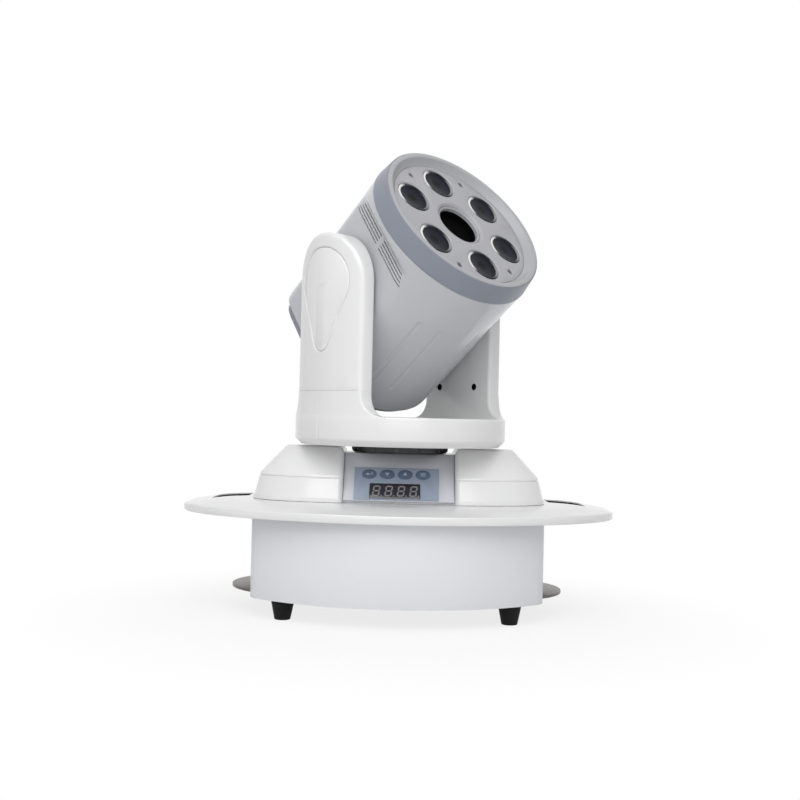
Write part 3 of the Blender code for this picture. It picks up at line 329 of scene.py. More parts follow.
class Bench:
    """Modelling steps that the sub-assemblies share."""

    @staticmethod
    def pick(piece: bpy.types.Object) -> None:
        """Makes a piece the only selected object and the active one."""
        bpy.ops.object.select_all(action="DESELECT")
        piece.select_set(True)
        bpy.context.view_layer.objects.active = piece

    @staticmethod
    @contextmanager
    def editing(piece: bpy.types.Object) -> Iterator[bmesh.types.BMesh]:
        """Opens a piece in edit mode with everything selected, and leaves edit mode afterwards.

        Args:
            piece: The piece to edit.

        Yields:
            The mesh as edit mode holds it.
        """
        Bench.pick(piece)
        bpy.ops.object.mode_set(mode="EDIT")
        bpy.ops.mesh.select_mode(type="EDGE")
        bpy.ops.mesh.select_all(action="SELECT")
        yield bmesh.from_edit_mesh(piece.data)
        bpy.ops.object.mode_set(mode="OBJECT")

    @staticmethod
    def name(piece: bpy.types.Object, name: str) -> bpy.types.Object:
        """Names a piece and its mesh."""
        piece.name = name
        piece.data.name = name
        return piece

    @staticmethod
    def block(name: str, low: Place, high: Place, edge: float = 0.0, segments: int = 3) -> bpy.types.Object:
        """Adds a box between two corners, with its edges rounded.

        Args:
            name: The piece's name.
            low: The lowest corner.
            high: The highest corner.
            edge: The radius of the edges, or 0 to leave them sharp.
            segments: How many faces round an edge.

        Returns:
            The box.
        """
        bpy.ops.object.select_all(action="DESELECT")
        middle = [(a + b) / 2 for a, b in zip(low, high)]
        bpy.ops.mesh.primitive_cube_add(size=1, location=middle)
        piece = Bench.name(bpy.context.object, name)
        piece.scale = [b - a for a, b in zip(low, high)]
        bpy.ops.object.transform_apply(location=True, rotation=True, scale=True)
        if edge:
            with Bench.editing(piece):
                bpy.ops.mesh.bevel(offset=edge, segments=segments, profile=0.5)
        return piece

    @staticmethod
    def prism(name: str, outline: Sequence[Point], low: float, high: float) -> bpy.types.Object:
        """Draws an outline and extrudes it along Z.

        Args:
            name: The piece's name.
            outline: The corners in X and Y.
            low: The height that it starts at.
            high: The height that it ends at.

        Returns:
            The prism.
        """
        bpy.ops.object.select_all(action="DESELECT")
        bpy.ops.mesh.primitive_circle_add(vertices=len(outline), radius=1, fill_type="NGON")
        piece = Bench.name(bpy.context.object, name)
        for vert, (x, y) in zip(piece.data.vertices, outline):
            vert.co = (x, y, low)
        with Bench.editing(piece):
            bpy.ops.mesh.extrude_region_move(TRANSFORM_OT_translate={"value": (0, 0, high - low)})
            bpy.ops.mesh.select_all(action="SELECT")
            bpy.ops.mesh.normals_make_consistent(inside=False)
        return piece

    @staticmethod
    def turned(name: str, stations: Sequence[Point], vertices: int = 128) -> bpy.types.Object:
        """Draws a circle out through stations, as on a lathe.

        Args:
            name: The piece's name.
            stations: Radius and height of each station. Where the last one repeats the first, the section closes.
            vertices: How many vertices go round.

        Returns:
            The turned piece, its axis along Z.
        """
        radius, height = stations[0]
        bpy.ops.object.select_all(action="DESELECT")
        bpy.ops.mesh.primitive_circle_add(vertices=vertices, radius=radius, location=(0, 0, height))
        piece = Bench.name(bpy.context.object, name)
        bpy.ops.object.transform_apply(location=True, rotation=True, scale=True)
        with Bench.editing(piece):
            for next_radius, next_height in stations[1:]:
                rise = (0, 0, next_height - height)
                bpy.ops.mesh.extrude_region_move(TRANSFORM_OT_translate={"value": rise})
                share = next_radius / radius
                bpy.ops.transform.resize(value=(share, share, 1), center_override=(0, 0, 0))
                radius, height = next_radius, next_height
            bpy.ops.mesh.select_all(action="SELECT")
            bpy.ops.mesh.remove_doubles(threshold=0.001 * MM)
            bpy.ops.mesh.fill_holes(sides=0)
            bpy.ops.mesh.select_all(action="SELECT")
            bpy.ops.mesh.normals_make_consistent(inside=False)
        return piece

    @staticmethod
    def stacked(name: str, rings: Sequence[Sequence[Place]], closed: bool = False) -> bpy.types.Object:
        """Skins rings of equal length.

        Args:
            name: The piece's name.
            rings: The points of each ring.
            closed: Whether the last ring joins the first. Otherwise both end rings are filled.

        Returns:
            The skinned piece.
        """
        form = bmesh.new()
        loops = [[form.verts.new(point) for point in ring] for ring in rings]
        pairs = list(zip(loops, loops[1:]))
        if closed:
            pairs.append((loops[-1], loops[0]))
        count = len(rings[0])
        for first, second in pairs:
            for i in range(count):
                j = (i + 1) % count
                form.faces.new((first[i], first[j], second[j], second[i]))
        if not closed:
            form.faces.new(loops[0])
            form.faces.new(loops[-1])
        mesh = bpy.data.meshes.new(name)
        form.to_mesh(mesh)
        form.free()
        piece = bpy.data.objects.new(name, mesh)
        bpy.context.scene.collection.objects.link(piece)
        with Bench.editing(piece):
            bpy.ops.mesh.normals_make_consistent(inside=False)
        return piece

    @staticmethod
    def from_node(node: str, name: str) -> bpy.types.Object:
        """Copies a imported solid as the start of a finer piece, its triangles merged into plane faces.

        Args:
            node: The solid's name.
            name: The new piece's name.

        Returns:
            The copy.
        """
        source = bpy.data.objects[node]
        piece = bpy.data.objects.new(name, source.data.copy())
        Bench.name(piece, name).data.materials.clear()
        bpy.context.scene.collection.objects.link(piece)
        with Bench.editing(piece):
            bpy.ops.mesh.customdata_custom_splitnormals_clear()
            bpy.ops.mesh.remove_doubles(threshold=0.001 * MM)
            bpy.ops.mesh.dissolve_limited(angle_limit=math.radians(0.5))
        return piece

    @staticmethod
    def copy(piece: bpy.types.Object, name: str, place: Matrix) -> bpy.types.Object:
        """Copies a piece with its own mesh and puts it at a place."""
        made = bpy.data.objects.new(name, piece.data.copy())
        bpy.context.scene.collection.objects.link(made)
        Bench.settle(made, place)
        return Bench.name(made, name)

    @staticmethod
    def join(name: str, pieces: Sequence[bpy.types.Object]) -> bpy.types.Object:
        """Joins pieces of one finish into one object."""
        Bench.pick(pieces[0])
        for piece in pieces:
            piece.select_set(True)
        bpy.ops.object.join()
        return Bench.name(pieces[0], name)

    @staticmethod
    def settle(piece: bpy.types.Object, place: Matrix) -> None:
        """Puts a piece at a place and writes that place into its mesh."""
        Bench.pick(piece)
        piece.matrix_world = place
        bpy.ops.object.transform_apply(location=True, rotation=True, scale=True)
        if place.determinant() < 0:
            with Bench.editing(piece):
                bpy.ops.mesh.normals_make_consistent(inside=False)

    @staticmethod
    def combine(piece: bpy.types.Object, other: bpy.types.Object, operation: str = "DIFFERENCE") -> None:
        """Cuts, joins or crosses a piece with another, which is used up.

        Args:
            piece: The piece that is kept.
            other: The piece that cuts or joins it.
            operation: DIFFERENCE, UNION or INTERSECT.
        """
        Bench.pick(piece)
        change = piece.modifiers.new("combine", "BOOLEAN")
        change.operation = operation
        change.solver = "EXACT"
        change.object = other
        bpy.ops.object.modifier_apply(modifier=change.name)
        bpy.data.objects.remove(other, do_unlink=True)

    @staticmethod
    def soften(piece: bpy.types.Object, width: float, segments: int = 2, angle: float = 40) -> None:
        """Rounds every edge that is sharper than an angle.

        Args:
            piece: The piece to soften.
            width: The width of the rounding.
            segments: How many faces round an edge.
            angle: The least angle between two faces, in degrees.
        """
        Bench.pick(piece)
        change = piece.modifiers.new("soften", "BEVEL")
        change.width = width
        change.segments = segments
        change.limit_method = "ANGLE"
        change.angle_limit = math.radians(angle)
        bpy.ops.object.modifier_apply(modifier=change.name)

    @staticmethod
    def round_edges(
        piece: bpy.types.Object, test: Callable[[bmesh.types.BMEdge], bool], width: float, segments: int = 4
    ) -> None:
        """Rounds the edges that pass a test.

        Args:
            piece: The piece to round.
            test: Says whether an edge is rounded.
            width: The width of the rounding.
            segments: How many faces round an edge.
        """
        with Bench.editing(piece) as form:
            bpy.ops.mesh.select_all(action="DESELECT")
            for edge in form.edges:
                edge.select_set(len(edge.link_faces) == 2 and test(edge))
            bmesh.update_edit_mesh(piece.data)
            bpy.ops.mesh.bevel(offset=width, segments=segments, profile=0.5)

    @staticmethod
    def smooth(piece: bpy.types.Object, angle: float = 32) -> bpy.types.Object:
        """Shades a piece smooth but for edges sharper than an angle in degrees."""
        Bench.pick(piece)
        bpy.ops.object.shade_smooth_by_angle(angle=math.radians(angle))
        return piece

    @staticmethod
    def screw(name: str, radius: float, depth: float) -> bpy.types.Object:
        """Turns a domed screw head with a hexagon socket, its seat at no height.

        Args:
            name: The piece's name.
            radius: The head's radius.
            depth: The head's height.

        Returns:
            The screw head.
        """
        stations = [
            (radius * 0.9, 0.0),
            (radius, depth * 0.12),
            (radius, depth * 0.55),
            (radius * 0.86, depth * 0.86),
            (radius * 0.6, depth),
        ]
        head = Bench.turned(name, stations, 32)
        key = Bench.turned("screw_key", [(radius * 0.5, depth * 0.4), (radius * 0.5, depth * 2)], 6)
        Bench.combine(head, key)
        return Bench.smooth(head)


def convex(edge: bmesh.types.BMEdge) -> bool:
    """Says whether an edge stands out, as a corner does, and isn't nearly flat."""
    first, second = edge.link_faces
    across = second.calc_center_median() - first.calc_center_median()
    return edge.calc_face_angle(0) > math.radians(25) and across.dot(first.normal) < 0


def circle(radius: float, count: int, centre: Point = (0, 0), start: float = 0.0) -> list[Point]:
    """Points round a circle.

    Args:
        radius: The circle's radius.
        count: How many points.
        centre: The circle's centre.
        start: The angle of the first point.

    Returns:
        The points.
    """
    turns = [start + 2 * math.pi * i / count for i in range(count)]
    return [(centre[0] + radius * math.cos(a), centre[1] + radius * math.sin(a)) for a in turns]


def arc(centre: Point, radius: float, start: float, end: float, steps: int) -> list[Point]:
    """Points along an arc, both ends included."""
    turns = [start + (end - start) * i / steps for i in range(steps + 1)]
    return [(centre[0] + radius * math.cos(a), centre[1] + radius * math.sin(a)) for a in turns]


def two_circles(first: Point, first_radius: float, second: Point, second_radius: float, steps: int) -> list[Point]:
    """The outline of a band stretched round two circles.

    Args:
        first: The first circle's centre.
        first_radius: Its radius.
        second: The second circle's centre.
        second_radius: Its radius.
        steps: How many steps go round each end.

    Returns:
        The outline.
    """
    across, along = second[0] - first[0], second[1] - first[1]
    heading = math.atan2(along, across)
    wrap = math.acos((first_radius - second_radius) / math.hypot(across, along))
    near = arc(first, first_radius, heading + wrap, heading + 2 * math.pi - wrap, steps)
    return near + arc(second, second_radius, heading - wrap, heading + wrap, steps)


def bowed(half_width: float, half_depth: float, power: float, turn: float) -> Point:
    """One point of an outline that is squarer than an ellipse where its power is over 2."""
    c, s = math.cos(turn), math.sin(turn)
    x = math.copysign(abs(c) ** (2 / power), c) * half_width
    y = math.copysign(abs(s) ** (2 / power), s) * half_depth
    return x, y


def smooth_min(first: float, second: float, blend: float) -> float:
    """The lesser of two values, with a rounded change from one to the other."""
    near = max(blend - abs(first - second), 0) / blend
    return min(first, second) - near * near * blend / 4


def smooth_step(value: float) -> float:
    """Eases from 0 to 1."""
    value = max(0.0, min(1.0, value))
    return value * value * (3 - 2 * value)


def fit(
    piece: bpy.types.Object,
    look: Finish,
    body: Body,
    replaces: Sequence[str] = (),
    frame: Matrix = BASE_FRAME,
) -> bpy.types.Object:
    """Puts a finished piece in its frame, gives it its finish and hangs it on its body.

    Args:
        piece: The finished piece.
        look: Its finish.
        body: The body that it rides on.
        replaces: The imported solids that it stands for.
        frame: The frame that it was modelled in.

    Returns:
        The piece.
    """
    Bench.settle(piece, frame)
    piece.data.materials.clear()
    piece.data.materials.append(look.material())
    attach(piece, body.value)
    if replaces:
        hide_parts(*replaces)
    LOG.info("%s: %d faces, rides on %s", piece.name, len(piece.data.polygons), body.value)
    return piece


@dataclass
class BaseBox:
    """The sheet-metal box with its bottom plate, feet and rear sockets."""

    wall: float = 2 * MM
    low: float = -4 * MM
    high: float = 77.7 * MM
    half_width: float = 147.8 * MM
    front_y: float = -105 * MM
    front_radius: float = 213.6 * MM
    rear_y: float = 100 * MM
    bend: float = 9 * MM
    ear_radius: float = 75 * MM
    ear_x: float = 98 * MM
    ear_y: float = 20 * MM
    plate: float = 3 * MM
    foot_x: float = 113 * MM
    foot_ys: Point = (-55 * MM, 72 * MM)
    foot_drop: float = 23.3 * MM

    def build(self) -> None:
        """Builds and dresses the box and what is fixed to it."""
        self._box()
        plate = Bench.from_node("base_plate", "bottom_plate")
        Bench.soften(plate, 0.5 * MM, 2)
        fit(Bench.smooth(plate), STEEL, Body.BASE, ["base_plate"])
        self._feet()
        self._sockets()

    def _block(self, inset: float, low: float, high: float) -> bpy.types.Object:
        """Makes the box's form, or its hollow where inset is the wall.

        Args:
            inset: How far inside the outer face.
            low: The lowest height.
            high: The highest height.

        Returns:
            The form, its upright bends rounded.
        """
        radius, half = self.front_radius - inset, self.half_width - inset
        sweep = math.asin(half / radius)
        down = -math.pi / 2
        outline = arc((0, self.front_y + self.front_radius), radius, down - sweep, down + sweep, 24)
        outline += [(half, self.rear_y - inset), (-half, self.rear_y - inset)]
        form = Bench.prism("box_form", outline, low, high)

        def upright_bend(edge: bmesh.types.BMEdge) -> bool:
            tall = abs(edge.verts[0].co.z - edge.verts[1].co.z) > self.bend
            return tall and edge.calc_face_angle(0) > math.radians(20)

        Bench.round_edges(form, upright_bend, self.bend - inset, 8)
        return form

    def _box(self) -> None:
        """The box: bowed front, bent corners, notches for the plate's ears and cut-outs for the sockets."""
        box = Bench.name(self._block(0, self.low, self.high), "sheet_box")
        Bench.combine(box, self._block(self.wall, self.low - 0.05, self.high + 0.05))
        quarter = math.pi / 2
        ears = arc((self.ear_x, self.ear_y), self.ear_radius + 0.5 * MM, -quarter, quarter, 32)
        ears += arc((-self.ear_x, self.ear_y), self.ear_radius + 0.5 * MM, quarter, 3 * quarter, 32)
        Bench.combine(box, Bench.prism("ear_notch", ears, self.low - 0.02, self.plate + 0.5 * MM))
        for node in ("power_inlet", "dmx_in", "dmx_out"):
            low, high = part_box(node)
            half = (13.8 if node == "power_inlet" else 11.8) * MM
            rise = (10.3 if node == "power_inlet" else 11.8) * MM
            x, z = (low.x + high.x) / 2, (low.z + high.z) / 2
            hole = ((x - half, 0.08, z - rise), (x + half, 0.12, z + rise))
            Bench.combine(box, Bench.block("socket_hole", *hole))
        Bench.soften(box, 0.45 * MM, 2, 50)
        fit(Bench.smooth(box), WHITE_SHEET, Body.BASE, ["base_box"])

    def _feet(self) -> None:
        """Tapered rubber feet with a screw well in the sole."""
        drop = -self.foot_drop
        stations = [
            (2.5 * MM, drop + 6 * MM),
            (2.5 * MM, drop + 0.3 * MM),
            (2.8 * MM, drop),
            (7.2 * MM, drop),
            (7.8 * MM, drop + 0.25 * MM),
            (8.1 * MM, drop + 0.9 * MM),
            (12.4 * MM, -1.0 * MM),
            (12.3 * MM, -0.5 * MM),
            (12.0 * MM, -0.3 * MM),
        ]
        foot = Bench.smooth(Bench.turned("foot", stations, 64))
        for end, y in zip(("front", "rear"), self.foot_ys):
            for side, x in (("left", -self.foot_x), ("right", self.foot_x)):
                made = Bench.copy(foot, f"rubber_foot_{end}_{side}", Matrix.Translation((x, y, 0)))
                fit(made, RUBBER, Body.BASE, [f"foot_{end}_{side}"])
        bpy.data.objects.remove(foot, do_unlink=True)

    def _sockets(self) -> None:
        """Rear sockets with softened edges, their contacts and the screws in their flanges."""
        for node, label in (("power_inlet", "mains_inlet"), ("dmx_in", "data_in"), ("dmx_out", "data_out")):
            low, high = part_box(node)
            x, z, y = (low.x + high.x) / 2, (low.z + high.z) / 2, high.y
            socket = Bench.from_node(node, f"{label}_socket")
            Bench.soften(socket, 0.35 * MM, 2)
            fit(Bench.smooth(socket), BLACK_SATIN, Body.BASE, [node])
            screw = Bench.screw(f"{label}_screw", 2.2 * MM, 1.4 * MM)
            wide = node == "power_inlet"
            offsets = [(-20 * MM, 0), (20 * MM, 0)] if wide else [(-9.5 * MM, 12.5 * MM), (9.5 * MM, -12.5 * MM)]
            heads = [
                Bench.copy(screw, "head", Matrix.Translation((x + dx, y, z + dz)) @ ALONG_Y) for dx, dz in offsets
            ]
            bpy.data.objects.remove(screw, do_unlink=True)
            fit(Bench.join(f"{label}_screws", heads), SCREW_STEEL, Body.BASE)
            if node == "dmx_out":
                continue
            if wide:
                spots = [(-6.5 * MM, -2 * MM), (0, 2 * MM), (6.5 * MM, -2 * MM)]
            else:
                spots = [(a, -b) for a, b in circle(4.2 * MM, 3)]
            pin = Bench.turned("pin", [(1.45 * MM, -14 * MM), (1.45 * MM, -5 * MM), (1.1 * MM, -4.5 * MM), (0.5 * MM, -4.3 * MM)], 24)
            pins = [Bench.copy(pin, "pin", Matrix.Translation((x + dx, y, z + dz)) @ ALONG_Y) for dx, dz in spots]
            bpy.data.objects.remove(pin, do_unlink=True)
            fit(Bench.smooth(Bench.join(f"{label}_pins", pins)), BRASS, Body.BASE)


@dataclass
class Wing:
    """The wide crowned plate with a finger slot at each end."""

    low: float = 78 * MM
    rim: float = 8.5 * MM
    crown: float = 7.5 * MM
    half_width: float = 226 * MM
    tip: float = 224.5 * MM
    middle: float = 18 * MM
    front: float = 137 * MM
    rear: float = 122 * MM
    front_power: float = 1.83
    rear_power: float = 4.2
    plateau: float = 0.70
    slot_share: float = 0.88
    slot_x: float = 158 * MM
    slot_y: float = 12 * MM
    slot_corner: float = 7 * MM
    well: Point = (88 * MM, 36 * MM)
    points: int = 256

    def build(self) -> None:
        """Builds and dresses the plate."""
        top = self.low + self.rim
        edge = 1.6 * MM
        stations = [(0.988, self.low), (0.9955, self.low + 0.35 * MM), (1.0, self.low + edge), (1.0, top - edge)]
        stations += [(0.9985, top - 0.75 * MM), (0.9945, top - 0.2 * MM)]
        steps = 12
        for i in range(steps + 1):
            rise = i / steps
            height = top + self.crown * math.sin(rise * math.pi / 2)
            stations.append((0.988 + (self.plateau - 0.988) * rise, height))
        plate = Bench.stacked("wing", [[(x, y, z) for x, y in self._outline(share)] for share, z in stations])
        lowered = Bench.copy(plate, "lowered", Matrix.Translation((0, 0, -1.4 * MM)))
        for side in (-1, 1):
            slot = Bench.prism("finger_slot", self._slot(side), self.low - 0.02, top + 0.02)
            corner = self.slot_corner

            def upright(edge: bmesh.types.BMEdge) -> bool:
                tall = abs(edge.verts[0].co.z - edge.verts[1].co.z) > corner
                return tall and edge.calc_face_angle(0) > math.radians(25)

            Bench.round_edges(slot, upright, corner, 8)
            # Painted shade: a dark sheet in each slot stands for the shadow inside it.
            self._painted_slot_shade(side, slot, lowered)
            Bench.combine(plate, slot)
        bpy.data.objects.remove(lowered, do_unlink=True)
        x, y = self.well
        Bench.combine(plate, Bench.block("well", (-x, -y, self.low - 0.02), (x, y, top + 0.02)))
        Bench.soften(plate, 1.1 * MM, 3, 50)
        fit(Bench.smooth(plate), WHITE_GLOSS, Body.BASE, ["wing_plate"])

    def _painted_slot_shade(self, side: int, slot: bpy.types.Object, lowered: bpy.types.Object) -> None:
        """A dark sheet in a finger slot, a little below the plate's surface: painted shade for the shadow inside the
        slot.

        Args:
            side: -1 for the left and 1 for the right.
            slot: The slot's form.
            lowered: The whole plate, lowered by the depth at which the dark sheet ends.
        """
        outline = self._slot(side)
        centre = Vector([sum(values) / len(outline) for values in zip(*outline)] + [0])

        def shrunk(name: str, share: float) -> bpy.types.Object:
            scale = Matrix.Diagonal((share, share, 1, 1))
            return Bench.copy(slot, name, Matrix.Translation(centre) @ scale @ Matrix.Translation(-centre))

        liner = shrunk(f"{'left' if side < 0 else 'right'}_slot_liner", 0.994)
        Bench.combine(liner, Bench.copy(lowered, "surface", Matrix.Identity(4)), "INTERSECT")
        Bench.combine(liner, shrunk("hollow", 0.96))
        fit(Bench.smooth(liner), BLACK_SATIN, Body.BASE)

    def _edge(self, turn: float) -> Point:
        """A point of the outline, before its tips are cut blunt."""
        rear = math.sin(turn) > 0
        depth, power = (self.rear, self.rear_power) if rear else (self.front, self.front_power)
        x, y = bowed(self.half_width, depth, power, turn)
        return x, self.middle + y

    def _outline(self, share: float) -> list[Point]:
        """The outline, shrunk to a share of its size."""
        turns = [2 * math.pi * i / self.points for i in range(self.points)]
        edges = [self._edge(turn) for turn in turns]
        return [(share * max(-self.tip, min(self.tip, x)), share * y) for x, y in edges]

    def _slot(self, side: int) -> list[Point]:
        """The finger slot's outline on one side.

        Args:
            side: -1 for the left and 1 for the right.

        Returns:
            The outline: its outer edge follows the plate's, its inner edge is straight.
        """
        end = math.acos((self.slot_x / (self.half_width * self.slot_share)) ** (self.rear_power / 2))
        edges = [self._edge(end * i / 12) for i in range(1, 13)]
        outline = [(self.slot_share * self.tip, self.slot_y)]
        outline += [(self.slot_share * x, self.slot_share * y) for x, y in edges if x < self.tip]
        outline.append((self.slot_x, self.slot_y))
        return [(side * x, y) for x, y in outline]


@dataclass
class Cover:
    """The sloped cover on the wing: two lobes with the control panel and the yoke's channel between them."""

    wall: float = 3 * MM
    power: float = 2.6
    channel: float = 56 * MM
    channel_z: float = 143 * MM
    panel_half: float = 56 * MM
    lobe_edge: float = 7 * MM
    panel_seat: float = -2.8 * MM
    shaft: float = 18 * MM
    points: int = 192
    stations: tuple[Place, ...] = (
        (94.3 * MM, 151.0 * MM, 67.0 * MM),
        (98.3 * MM, 150.2 * MM, 66.4 * MM),
        (99.2 * MM, 149.4 * MM, 65.7 * MM),
        (116.4 * MM, 145.0 * MM, 62.0 * MM),
        (117.2 * MM, 144.7 * MM, 61.7 * MM),
        (117.7 * MM, 143.8 * MM, 60.8 * MM),
        (118.5 * MM, 143.8 * MM, 60.8 * MM),
        (119.0 * MM, 144.4 * MM, 61.4 * MM),
        (120.2 * MM, 144.1 * MM, 61.1 * MM),
        (121.4 * MM, 143.2 * MM, 60.2 * MM),
        (147.4 * MM, 118.8 * MM, 35.8 * MM),
        (148.5 * MM, 117.5 * MM, 34.5 * MM),
        (149.0 * MM, 116.3 * MM, 33.3 * MM),
        (149.2 * MM, 115.0 * MM, 32.0 * MM),
    )

    def build(self) -> None:
        """Builds and dresses the cover."""
        cover = Bench.stacked("cover", [self._ring(z, a, b) for z, a, b in self.stations])
        side, reach = 0.08, 0.2
        between = Bench.block("channel", (-side, -reach, self.channel_z), (side, reach, self.channel_z + reach))
        recess = Bench.block("panel_recess", (-side, -reach, self.panel_seat), (side, reach, reach))
        Bench.settle(recess, PANEL_FRAME)
        Bench.combine(between, recess, "UNION")
        Bench.combine(between, self._mouth(), "INTERSECT")
        Bench.combine(cover, between)
        self._hollow(cover)
        fit(Bench.smooth(cover, 28), WHITE_GLOSS, Body.BASE, ["base_cover"])

    def _ring(self, z: float, half_width: float, half_depth: float) -> list[Place]:
        """One level outline of the cover."""
        turns = [2 * math.pi * i / self.points for i in range(self.points)]
        return [(*bowed(half_width, half_depth, self.power, turn), z) for turn in turns]

    def _mouth(self) -> bpy.types.Object:
        """The space between the lobes, which flares to round their edges at the front, rear and top."""
        edge, top = self.lobe_edge, self.stations[-1][0]
        depths = [edge * share for share in (0, 0.04, 0.12, 0.25, 0.42, 0.62, 0.82, 1)]
        heights = {z for z, _, _ in self.stations} | {top - depth for depth in depths} | {0.08, top + 0.01}

        def wall(depth: float) -> float:
            rest = edge - max(0.0, min(depth, edge))
            return self.channel + edge - math.sqrt(edge**2 - rest**2)

        rings = []
        for z in sorted(heights):
            skin = self._skin(z)
            near = [(wall(0), -skin - 0.02)] + [(wall(min(depth, top - z)), depth - skin) for depth in depths]
            right = near + [(x, -y) for x, y in reversed(near)]
            ring = right + [(-x, y) for x, y in reversed(right)]
            rings.append([(x, y, z) for x, y in ring])
        return Bench.stacked("mouth", rings)

    def _skin(self, height: float) -> float:
        """How far out the cover's face is at a height, beside the channel."""
        pairs = list(zip(self.stations, self.stations[1:]))
        low, high = next(((a, b) for a, b in pairs if height <= b[0]), pairs[-1])
        share = max(0.0, min(1.0, (height - low[0]) / (high[0] - low[0])))
        half_width, half_depth = (low[i] + (high[i] - low[i]) * share for i in (1, 2))
        return half_depth * (1 - (self.channel / half_width) ** self.power) ** (1 / self.power)

    def _hollow(self, cover: bpy.types.Object) -> None:
        """Cuts out the inside, the opening behind the panel and the hole for the shaft.

        Args:
            cover: The cover, still solid.
        """
        wall, reach = self.wall, 0.2
        low, middle, high = self.stations[0], self.stations[4], self.stations[-3]
        rings = [
            self._ring(low[0] - 0.02, low[1] - wall, low[2] - wall),
            self._ring(middle[0] - wall, middle[1] - wall, middle[2] - wall),
            self._ring(high[0] - wall, high[1] - wall, high[2] - wall),
        ]
        inside = Bench.stacked("inside", rings)
        half = self.channel + wall
        box = ((-half, -reach, self.channel_z - wall), (half, reach, self.channel_z + reach))
        Bench.combine(inside, Bench.block("channel_roof", *box))
        half = self.panel_half + wall
        slope = Bench.block("panel_wall", (-half, -2 * reach, self.panel_seat - wall), (half, reach, reach))
        Bench.settle(slope, PANEL_FRAME)
        Bench.combine(inside, slope)
        Bench.combine(cover, inside)
        window = Bench.block("panel_opening", (-48 * MM, -25 * MM, -12 * MM), (48 * MM, 20 * MM, 0))
        Bench.settle(window, PANEL_FRAME)
        Bench.combine(cover, window)
        Bench.combine(cover, Bench.prism("shaft_hole", circle(self.shaft, 64), 0.13, 0.16))


class Key(Enum):
    """The keys of the control panel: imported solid, body and place in the row."""

    MENU = ("button_menu", Body.MENU_KEY, 0)
    DOWN = ("button_down", Body.DOWN_KEY, 1)
    UP = ("button_up", Body.UP_KEY, 2)
    ENTER = ("button_enter", Body.ENTER_KEY, 3)


